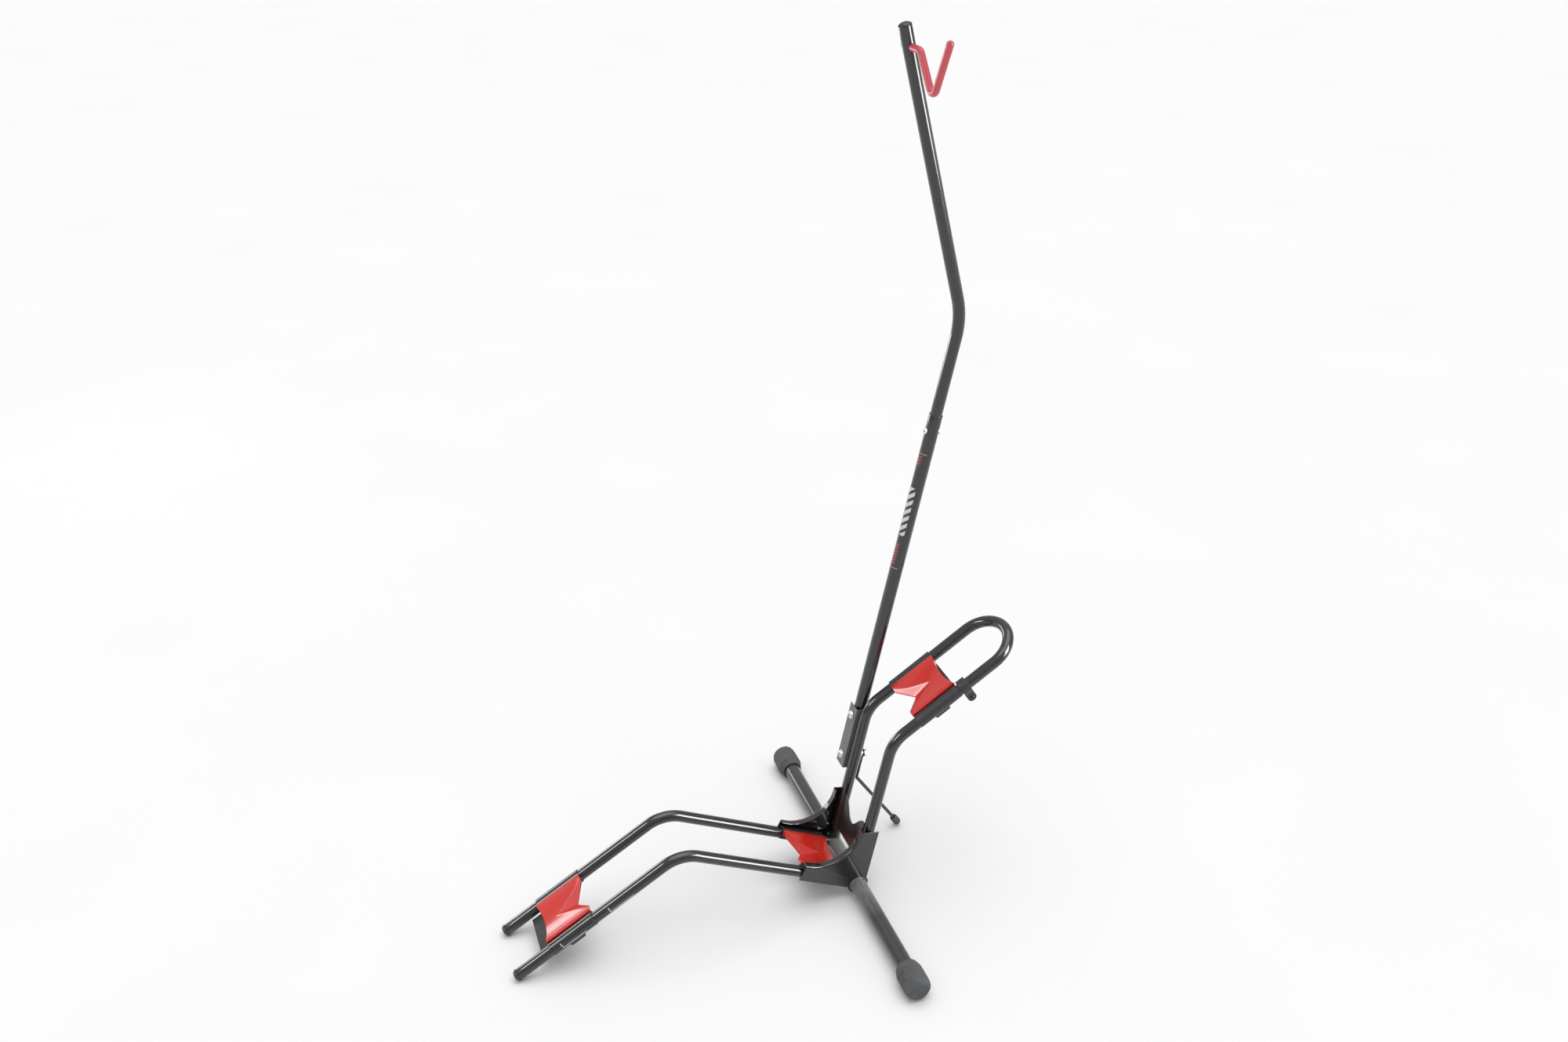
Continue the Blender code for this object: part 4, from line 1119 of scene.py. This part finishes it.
    def web(self) -> None:
        """The web plate between the uprights, its top edge a saddle.

        The edge's height is the dip plus a raised cosine of the share of the way to the shoulder.
        """
        half = LAYOUT.rail_y - LAYOUT.tube - GAP
        low, dip, high = self.web_heights
        y = np.linspace(-half, half, 61)
        share = np.minimum(abs(y) / (0.90 * half), 1.0)
        top = dip + (high - dip) * (0.5 - 0.5 * np.cos(math.pi * share))
        ease = 0.0009
        front = self.web_middle + self.web_sheet / 2
        back = self.web_middle - self.web_sheet / 2
        ones, corner = np.ones(len(y)), 0.3 * ease
        rows = [(low * ones, front), (top - ease, front), (top - corner, front - corner),
                (top, front - ease), (top, back + ease), (top - corner, back + corner),
                (top - ease, back), (low * ones, back)]
        grid = np.stack([np.stack([t, y, z * ones], axis=-1) for t, z in rows], axis=1)
        piece = Shell.grid(LAYOUT.post.place(grid), capped=True).piece("web_plate_pressed")
        self.finisher.dress(piece, WEB_PAINT)


# ------------------------------------------------------------------ pole
@dataclass
class Pole:
    """The channel, the lower pole, the cranked mast, the hook and the stay."""

    finisher: Finisher
    hardware: Hardware
    frame: dict[str, Any]
    flange: float = 0.0154
    stations: tuple[float, float] = (0.2950, 0.2005)
    bolt: float = 0.0035
    nut: float = 0.0060
    stay_face: float = 0.0320
    eye: float = 0.0030
    mast_bolt: float = 0.0025
    plug: float = 0.0093
    hook_down: float = 0.0330
    hook_elbow: float = 0.0455
    hook_valley: tuple[float, float] = (0.0060, -0.0650)
    hook_tip: tuple[float, float] = (0.0545, 0.0262)
    hook_bend: float = 0.0135
    rod: float = 0.0040
    sleeve: float = 0.0060
    stay_radius: float = 0.0037
    stay_kink: float = 0.1400
    stay_foot: tuple[float, float] = (0.1540, 0.0145)

    def build(self) -> None:
        """Make every piece of the pole."""
        self.channel()
        self.channel_bolts()
        self.tubes()
        self.hook()
        self.stay()

    def channel(self) -> None:
        """The folded channel: its own solid, merged, with its edges eased."""
        source = self.frame["nodes"]["pole_channel"]
        mesh = source.data.copy()
        shape = bmesh.new()
        shape.from_mesh(mesh)
        bmesh.ops.remove_doubles(shape, verts=shape.verts, dist=1e-5)
        bmesh.ops.dissolve_limit(shape, angle_limit=math.radians(1), verts=shape.verts,
                                 edges=shape.edges)
        shape.to_mesh(mesh)
        shape.free()
        piece = stood_up("pole_channel_folded", mesh, 0.0006, 2)
        self.finisher.dress(piece, CHANNEL_PAINT)

    def across(self, station: float, off: float, way: float) -> Spindle:
        """A spindle across the pole, off its axis towards the front, that looks the given way."""
        post = LAYOUT.post
        return Spindle(post.place([station, LAYOUT.pole_y, off]), way * post.matrix[:, 2])

    def channel_bolts(self) -> None:
        """Two through bolts with washers, their nuts, and the spacer that holds the stay off."""
        seat = self.flange + GAP
        back = self.stay_face + self.eye / 2 + GAP
        for key, station, face in (("upper", self.stations[0], seat), ("lower", self.stations[1],
                                                                       back)):
            self.hardware.bolt(f"channel_bolt_{key}", self.across(station, seat, 1.0), 0.0078,
                               0.0046, (self.bolt, seat + face + self.nut + 0.0025), 0.0088)
            self.hardware.nut(f"channel_nut_{key}",
                              self.across(station, -face - self.nut / 2, -1.0), 0.0125,
                              self.bolt + GAP, self.nut)
        length = self.stay_face - self.eye / 2 - GAP - seat
        bore, skin = self.bolt + GAP, 0.0062
        profile = eased([(bore, 0.001), (bore, length), (skin, length), (skin, 0.0), (bore, 0.0)],
                        0.0004)
        spindle = self.across(self.stations[1], -seat - length, 1.0)
        piece = turned(profile, spindle, 40, closed=True).piece("stay_spacer_turned")
        self.finisher.dress(piece, ZINC)

    def tubes(self) -> None:
        """The lower pole, the mast, the bolt that joins them and the mast's plug."""
        post, y = LAYOUT.post, LAYOUT.pole_y
        low, high = LAYOUT.pole_span
        pole = spaced(post.place([[low, y, 0], [high, y, 0]]), TUBE_STEP)
        piece = tube(pole, LAYOUT.pole_radius, 48, 0.0007).piece("lower_pole_tube")
        self.finisher.dress(piece, POLE_PAINT)
        along, off = math.cos(LAYOUT.mast_kick), math.sin(LAYOUT.mast_kick)
        corners = post.place([[high - 0.1630, y, 0], [LAYOUT.mast_bend, y, 0],
                              [LAYOUT.mast_bend + LAYOUT.mast_top * along, y,
                               LAYOUT.mast_top * off]])
        mast = tube(spaced(rounded_path(corners, 0.160, 24), TUBE_STEP), LAYOUT.tube)
        self.finisher.dress(mast.piece("mast_cranked"), PAINT)
        cross = high - 0.0330
        seat = LAYOUT.pole_radius + GAP
        self.hardware.bolt("mast_bolt", self.across(cross, seat, 1.0), 0.0062, 0.0036,
                           (self.mast_bolt, 2 * seat + 0.0065))
        self.hardware.nut("mast_nut", self.across(cross, -seat - 0.0025, -1.0), 0.0085,
                          self.mast_bolt + GAP, 0.0050)
        r = LAYOUT.tube
        profile = eased([(0.0, 0.0046), (0.0060, 0.0040), (r - 0.0013, 0.0020), (r, 0.0006),
                         (r, GAP), (self.plug, GAP), (self.plug, -0.0100), (0.0, -0.0100)],
                        0.0010)
        spindle = Spindle(np.array(LAYOUT.mast.origin), LAYOUT.mast.matrix[:, 0])
        piece = turned(profile, spindle, 48).piece("mast_plug_moulded")
        self.finisher.dress(piece, BLACK_MOULDING)

    def hook(self) -> None:
        """The hook's rod through the mast, its soft sleeve with a domed tip, and its nut."""
        start = LAYOUT.mast.place([-self.hook_down, 0, 0])
        rise = np.array([0.0, 0.0, 1.0])
        y = LAYOUT.pole_y
        elbow = start - ALONG_Y * (y - self.hook_elbow)
        valley, tip = (start - ALONG_Y * (y + out) + rise * up
                       for out, up in (self.hook_valley, self.hook_tip))
        onward = unit(tip - valley)
        begin = start + ALONG_Y * (LAYOUT.tube + 0.0095)
        rod = rounded_path([begin, elbow, valley, tip], self.hook_bend, 16)
        piece = tube(spaced(rod, 0.01), self.rod, 28).piece("hook_rod_bent")
        self.finisher.dress(piece, ZINC)
        mouth = start - ALONG_Y * (LAYOUT.tube + GAP)
        cover = rounded_path([mouth, elbow, valley, tip + onward * 0.0035], self.hook_bend, 20)
        piece = tube(spaced(cover, 0.006), self.sleeve, 36, 0.0010, dome_end=True)
        self.finisher.dress(piece.piece("hook_sleeve_dipped"), CORAL_SLEEVE)
        self.hardware.nut("hook_nut", Spindle(start + ALONG_Y * (LAYOUT.tube + GAP + 0.0030),
                                              ALONG_Y), 0.0130, self.rod + GAP, 0.0060)

    def stay(self) -> None:
        """The stay's rod and drilled eye, and the rubber boot on its lower end."""
        post = LAYOUT.post
        station = self.stations[1]
        pivot = post.shifted(station, LAYOUT.pole_y, -self.stay_face)
        kink = pivot.place([self.stay_kink - station, 0, 0])
        tip = np.array([LAYOUT.bar_x + self.stay_foot[0], LAYOUT.pole_y, self.stay_foot[1]])
        path = rounded_path([pivot.place([-0.0100, 0, 0]), kink, tip], 0.012, 12)
        rod = tube(spaced(path, 0.02), self.stay_radius, 28)
        rod.points = self.flattened(rod.points, pivot)
        ring = arc((0.0, 0.0), 0.0085, math.radians(-150), math.radians(150), 28)
        outline = np.concatenate([ring, [(-0.0240, 0.0040), (-0.0240, -0.0040)]])
        grid = drilled_plate(outline, (0.0, 0.0, self.bolt + GAP), (-self.eye / 2, self.eye / 2))
        eye = Shell.grid(pivot.place(grid), closed_rows=True)
        piece = Shell.joined([rod, eye]).piece("stay_rod_forged")
        self.finisher.dress(piece, PAINT, "stay")
        bore = self.stay_radius + GAP
        profile = eased([(0.0, 0.0115), (0.0046, 0.0112), (0.0078, 0.0080), (0.0080, -0.0060),
                         (0.0068, -0.0120), (bore, -0.0120), (bore, GAP), (0.0, GAP)], 0.0009)
        piece = turned(profile, Spindle(tip, tip - kink), 40).piece("stay_boot_moulded")
        self.finisher.dress(piece, GREY_RUBBER, "stay")

    def flattened(self, points: Array, pivot: Axes) -> Array:
        """Press the rod flat towards its eye.

        The height off the eye's plane is scaled by 0.4 at the eye, rising smoothly to 1 at 45 mm,
        and the width by 1.35, falling to 1.
        """
        local = (points - np.array(pivot.origin)) @ pivot.matrix
        share = np.clip((-local[:, 0] - 0.012) / 0.033, 0.0, 1.0)
        share = smooth_step(share)
        press = 0.40 + 0.60 * share
        near = local[:, 0] > -0.0450
        local[:, 2] *= np.where(near, press, 1.0)
        local[:, 1] *= np.where(near, 1.35 - 0.35 * share, 1.0)
        local[:, 0] = np.minimum(local[:, 0], -0.0060)
        return pivot.place(local)


# ------------------------------------------------------------------ wheel rests
@dataclass
class WheelRest:
    """A red saddle pad on a black carrier that is sleeved on both tubes."""

    finisher: Finisher
    name: str
    axes: Axes
    way: float
    body: str
    apron: float = 0.0
    trimmed: bool = False
    scoop: float = 0.0080
    half: float = 0.0500
    pad_half: float = 0.0495
    notch: float = 0.0270
    notch_half: float = 0.0340
    edge: float = 0.0145
    valley: float = 0.0080
    lip: float = 0.0420
    vee_start: float = -0.0200
    vee_fall: float = 0.2000
    vee_side: float = 0.5000
    wall: float = 0.0040
    cover: tuple[float, float] = (-2.2, 1.35)
    thin: float = 0.0121
    plate_top: float = -0.0050
    plate: float = 0.0030
    sleeve: float = 0.0134

    def build(self) -> None:
        """Make the pad and its carrier."""
        self.pad()
        self.carrier()

    def top_height(self, x: Array, y: Array) -> Array:
        """Height of the pad's top over a grid: a round hollow, and a vee that sinks to the notch.

        The hollow is R - sqrt(R^2 - y^2) above the valley, with R so that it reaches the edge's
        height at the lip. The vee is side x |y| above its own valley, which falls at a steady rate
        from its start. The top is the softened lower of the two, -t log(exp(-a/t) + exp(-b/t)).
        """
        depth = self.edge - self.valley
        radius = (self.lip ** 2 + depth ** 2) / (2 * depth)
        off = np.minimum(abs(y), self.lip)
        hollow = self.valley + radius - np.sqrt(radius ** 2 - off ** 2)
        beyond = np.sqrt(y ** 2 + 0.0012 ** 2) - 0.0012
        vee = self.valley - self.vee_fall * (x - self.vee_start) + self.vee_side * beyond
        soft = 0.0003
        return -soft * np.log(np.exp(-(hollow - 0.01) / soft) + np.exp(-(vee - 0.01) / soft)) + 0.01

    def under_height(self, top: Array, y: Array, share: Array) -> Array:
        """Height of the pad's underside: on the plate and sleeves, and a thin wall at the notch.

        The wall follows the top at its own thickness, and the change from one to the other is a
        smooth step, 3s^2 - 2s^3, of the share of the way along.
        """
        reach = self.sleeve + GAP
        gap = np.abs(LAYOUT.rail_y - abs(y))
        clear = np.sqrt(np.maximum(reach ** 2 - gap ** 2, 0.0))
        seat = np.maximum(self.plate_top + GAP, np.where(gap < reach, clear, -1.0))
        step = smooth_step(np.clip((share - 0.30) / 0.30, 0.0, 1.0))
        wall = np.where(gap < reach, seat, np.maximum(seat, top - self.wall))
        return np.minimum(seat * (1 - step) + wall * step, top - 0.0008)

    def pad(self) -> None:
        """The pad: a saddle with a notch in one end and a shallow scoop in the other.

        For each Y, X runs from the scooped end, -half + scoop (1 - (y/half)^2), to the notched end,
        half - depth (1 - |y| / half width), where |y| is softened at the middle.
        """
        y = np.linspace(-self.pad_half, self.pad_half, 133)
        soft = np.sqrt(y ** 2 + 0.0022 ** 2)
        rest = np.maximum(0.0, 1 - soft / self.notch_half)
        high = self.half - self.notch * rest
        low = -self.half + self.scoop * (1 - (y / self.pad_half) ** 2)
        u = np.linspace(0.0, 1.0, 81)[:, None]
        x = low[None, :] * (1 - u) + high[None, :] * u
        across = np.broadcast_to(y[None, :], x.shape)
        height = self.top_height(x, across)
        top = np.stack([x, across, height], axis=-1)
        under = self.under_height(height, across, np.broadcast_to(u, x.shape))
        bottom = np.stack([x, across, under], axis=-1)
        rows, cols = x.shape
        edge = np.concatenate([np.arange(cols), np.arange(1, rows) * cols + cols - 1,
                               (rows - 1) * cols + np.arange(cols - 2, -1, -1),
                               np.arange(rows - 2, 0, -1) * cols])
        count = rows * cols
        wall = np.stack([edge, np.roll(edge, -1), np.roll(edge, -1) + count, edge + count], axis=1)
        i = np.arange(rows - 1)[:, None] * cols
        j = np.arange(cols - 1)[None, :]
        quads = np.stack([i + j, i + j + 1, i + j + 1 + cols, i + j + cols], -1).reshape(-1, 4)
        faces = np.concatenate([quads, quads[:, ::-1] + count, wall]).tolist()
        points = np.concatenate([top.reshape(-1, 3), bottom.reshape(-1, 3)])
        points[:, 0] *= self.way
        shell = Shell(self.axes.place(points), faces)
        piece = shell.piece(f"{self.name}_pad_moulded", 0.0009)
        self.finisher.dress(piece, RED_PAD, self.body)

    def sleeve_shell(self, sign: float, length: float) -> Shell:
        """A sleeve on one tube: thick over the top, with a step down to a thin wall below.

        The outer radius at an angle from the top, positive outwards, is the thin one plus the step
        times a smooth ramp at each end of the thick part.
        """
        angle = round_angles(120)
        signed = (angle + math.pi) % (2 * math.pi) - math.pi
        outer_end = np.clip((self.cover[1] - signed) / 0.05, 0.0, 1.0)
        inner_end = np.clip((signed - self.cover[0]) / 0.05, 0.0, 1.0)
        bulk = self.thin + (self.sleeve - self.thin) * outer_end * inner_end
        bore, ease = LAYOUT.tube + GAP, 0.0005
        rows = [(bore, ease), (bulk - ease, 0.0), (bulk, ease), (bulk, length - ease),
                (bulk - ease, length), (bore, length - ease)]
        up, out, along = np.moveaxis(rings(rows, angle), -1, 0)
        grid = np.stack([along - length / 2, sign * out + sign * LAYOUT.rail_y, up], axis=-1)
        return Shell.grid(self.axes.place(grid), closed_rows=True)

    def carrier(self) -> None:
        """Two sleeves, the cross plate with its apron, and a finger tab under each sleeve."""
        shells = []
        length = 2 * self.half - 0.0020
        for _, sign in SIDES:
            y = sign * LAYOUT.rail_y
            sleeve = self.sleeve_shell(sign, length)
            if self.trimmed:
                outside = LAYOUT.rail_y + LAYOUT.tube - GAP
                sleeve.points[:, 1] = np.clip(sleeve.points[:, 1], -outside, outside)
            shells += [sleeve, self.block((-0.018, 0.018), (y - 0.005, y + 0.005),
                                          (-0.0180, -0.0110))]
        back = self.half + self.apron
        front = self.half - self.notch - 0.004
        wide = LAYOUT.rail_y - 0.012
        narrow = wide - 0.0030
        turn = -self.half + 0.002
        outline = np.array([(front, -wide), (front, wide), (turn, wide), (turn, -wide)])
        if self.apron:
            neck = turn - 0.004
            tip = [(neck, narrow), (-back, narrow), (-back, -narrow), (neck, -narrow)]
            outline = np.concatenate([outline[:3], tip, outline[3:]])
        outline[:, 0] *= self.way
        grid = slab(outline, self.plate_top - self.plate, self.plate_top)
        shells.append(Shell.grid(self.axes.place(grid), capped=True))
        piece = Shell.joined(shells).piece(f"{self.name}_carrier_moulded", 0.0005, 2)
        finish = SCALED_MOULDING if self.name == "front" else BLACK_MOULDING
        self.finisher.dress(piece, finish, self.body)

    def block(self, x: tuple[float, float], y: tuple[float, float],
              z: tuple[float, float]) -> Shell:
        """A small block whose ends lean in towards its foot, in the rest's frame."""
        rows = [[(x[0] + lean, y[0], height), (x[1] - lean, y[0], height),
                 (x[1] - lean, y[1], height), (x[0] + lean, y[1], height)]
                for height, lean in zip(z, (0.003, 0.0))]
        return Shell.grid(self.axes.place(rows), capped=True)


@dataclass
class StrapClip:
    """The strap clip on the near wing: a ring, a drilled ear, and its screw and nut."""

    finisher: Finisher
    hardware: Hardware
    at: float = 0.1720
    width: float = 0.0180
    radius: float = 0.0160
    drop: float = 0.0340

    def build(self) -> None:
        """Make the clip and its screw."""
        wing, y = LAYOUT.wing, -LAYOUT.rail_y
        inner = LAYOUT.tube + GAP
        width, radius = self.width, self.radius
        section = eased([(inner, 0.001), (inner, width), (radius, width), (radius, 0.0),
                         (inner, 0.0)], 0.0008)
        start = wing.place([self.at - self.width / 2, y, 0])
        ring = turned(section, Spindle(start, wing.matrix[:, 0]), 56, closed=True)
        half = self.width / 2
        foot = arc((0.0, 0.0), half, math.pi, 2 * math.pi, 24)
        outline = np.concatenate([foot, [(half, self.drop - 0.0135), (-half, self.drop - 0.0135)]])
        grid = drilled_plate(outline, (0.0, 0.0, 0.0028), (-0.0030, 0.0030), 0.0007)
        stood = np.stack([grid[..., 0] + self.at, y - grid[..., 2], grid[..., 1] - self.drop], -1)
        ear = Shell.grid(wing.place(stood), closed_rows=True)
        piece = Shell.joined([ring, ear]).piece("strap_clip_moulded")
        self.finisher.dress(piece, BLACK_MOULDING, "upper_rest")
        face = 0.0030 + GAP
        near = wing.place([self.at, y - face, -self.drop])
        far = wing.place([self.at, y + face + 0.0018, -self.drop])
        shell = Hardware.pan_head(Spindle(near, -ALONG_Y), 0.0046, 0.0026,
                                  (0.0025, 2 * face + 0.0045))
        self.finisher.dress(shell.piece("clip_screw_turned"), SCREW_BLACK, "upper_rest")
        self.hardware.nut("clip_nut", Spindle(far, ALONG_Y), 0.0080, 0.0028, 0.0036, "upper_rest")


# ------------------------------------------------------------------ studio
@dataclass(frozen=True)
class Softbox:
    """A rectangular light that looks at the stand and shows only as highlights."""

    name: str
    place: tuple[float, float, float]
    size: tuple[float, float]
    power: float
    target: tuple[float, float, float] = (0.05, 0.0, 0.5)

    def build(self) -> None:
        """Add the light."""
        data = bpy.data.lights.new(self.name, "AREA")
        data.shape = "RECTANGLE"
        data.size, data.size_y = self.size
        data.energy = self.power
        light = bpy.data.objects.new(self.name, data)
        light.location = self.place
        look = Vector(self.target) - Vector(self.place)
        light.rotation_euler = look.to_track_quat("-Z", "Y").to_euler()
        light.visible_camera = False
        light.visible_diffuse = False
        bpy.context.scene.collection.objects.link(light)


@dataclass(frozen=True)
class Studio:
    """The pale floor, the soft lights and the camera."""

    eye: tuple[float, float, float] = (-0.8287, -1.9085, 1.9526)
    yaw: float = 20.1166
    pitch: float = 28.7925
    lens: float = 31.065
    horizon: float = 0.44
    zenith: float = 0.88

    def build(self) -> None:
        """Set up the floor, the world, the lights and the camera."""
        bpy.context.scene.view_settings.view_transform = "Standard"
        self.floor()
        self.surroundings()
        self.sun()
        for box in (Softbox("side_softbox", (2.5, -2.1, 1.9), (1.3, 2.4), 150.0),
                    Softbox("left_softbox", (-2.8, 0.0, 2.4), (0.6, 1.4), 38.0),
                    Softbox("rear_softbox", (-1.7, 3.2, 0.75), (1.7, 0.8), 26.0)):
            box.build()
        self.camera()

    def floor(self) -> None:
        """A wide pale floor with a faint mottle."""
        mesh = bpy.data.meshes.new("studio_floor")
        reach = 150.0
        corners = [(reach * x, reach * y, 0.0) for x, y in ((-1, -1), (1, -1), (1, 1), (-1, 1))]
        mesh.from_pydata(corners, [], [(0, 1, 2, 3)])
        plane = bpy.data.objects.new("studio_floor", mesh)
        bpy.context.scene.collection.objects.link(plane)
        graph = Graph(bpy.data.materials.new("studio_floor_paper"))
        tone = graph.mix(graph.noise(1.5, 2.0), (0.84, 0.84, 0.845), (0.88, 0.88, 0.885))
        plane.data.materials.append(graph.finish(base_color=tone, roughness=0.9,
                                                 specular_ior_level=0.1))

    @staticmethod
    def sun() -> None:
        """A broad, soft overhead light that is even over the whole floor."""
        data = bpy.data.lights.new("overhead_light", "SUN")
        data.energy = 1.28
        data.angle = math.radians(58)
        light = bpy.data.objects.new("overhead_light", data)
        light.rotation_euler = Vector((-0.10, -0.06, -1.0)).to_track_quat("-Z", "Y").to_euler()
        bpy.context.scene.collection.objects.link(light)

    def surroundings(self) -> None:
        """A white world, dim at the horizon and brighter overhead."""
        world = bpy.data.worlds.new("studio_world")
        bpy.context.scene.world = world
        graph = Graph(world, "Background")
        view = graph.node("ShaderNodeTexCoord", {}, {}, "Generated")
        rise = graph.node("ShaderNodeSeparateXYZ", {}, {0: view}, "Z")
        strength = graph.node("ShaderNodeMapRange", {},
                              {"Value": rise, "To Min": self.horizon, "To Max": self.zenith})
        graph.finish(color=(1.0, 1.0, 1.0), strength=strength)

    def camera(self) -> None:
        """The camera, level in roll, looking down at the stand."""
        data = bpy.data.cameras.new("studio_camera")
        data.lens = self.lens
        data.sensor_width = 36.0
        camera = bpy.data.objects.new("studio_camera", data)
        camera.location = (self.eye[0] + LAYOUT.bar_x, self.eye[1], self.eye[2])
        camera.rotation_euler = (math.radians(90 - self.pitch), 0.0, math.radians(-self.yaw))
        bpy.context.scene.collection.objects.link(camera)
        bpy.context.scene.camera = camera


# ------------------------------------------------------------------ assembly
def main() -> None:
    """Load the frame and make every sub-assembly."""
    logging.basicConfig(level=logging.INFO, format="%(message)s")
    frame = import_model()
    finisher = Finisher()
    hardware = Hardware(finisher)
    Base(finisher).build()
    Gussets(finisher, hardware).build()
    Pole(finisher, hardware, frame).build()
    WheelRest(finisher, "front", LAYOUT.slope.shifted(-0.2470), 1.0, "front_rest", apron=0.0240,
              scoop=0.0055).build()
    WheelRest(finisher, "base", LAYOUT.rear.shifted(0.3170), -1.0, "stand", trimmed=True,
              scoop=0.0030).build()
    WheelRest(finisher, "upper", LAYOUT.wing.shifted(0.1110), -1.0, "upper_rest").build()
    StrapClip(finisher, hardware).build()
    Studio().build()


if __name__ == "__main__":
    main()
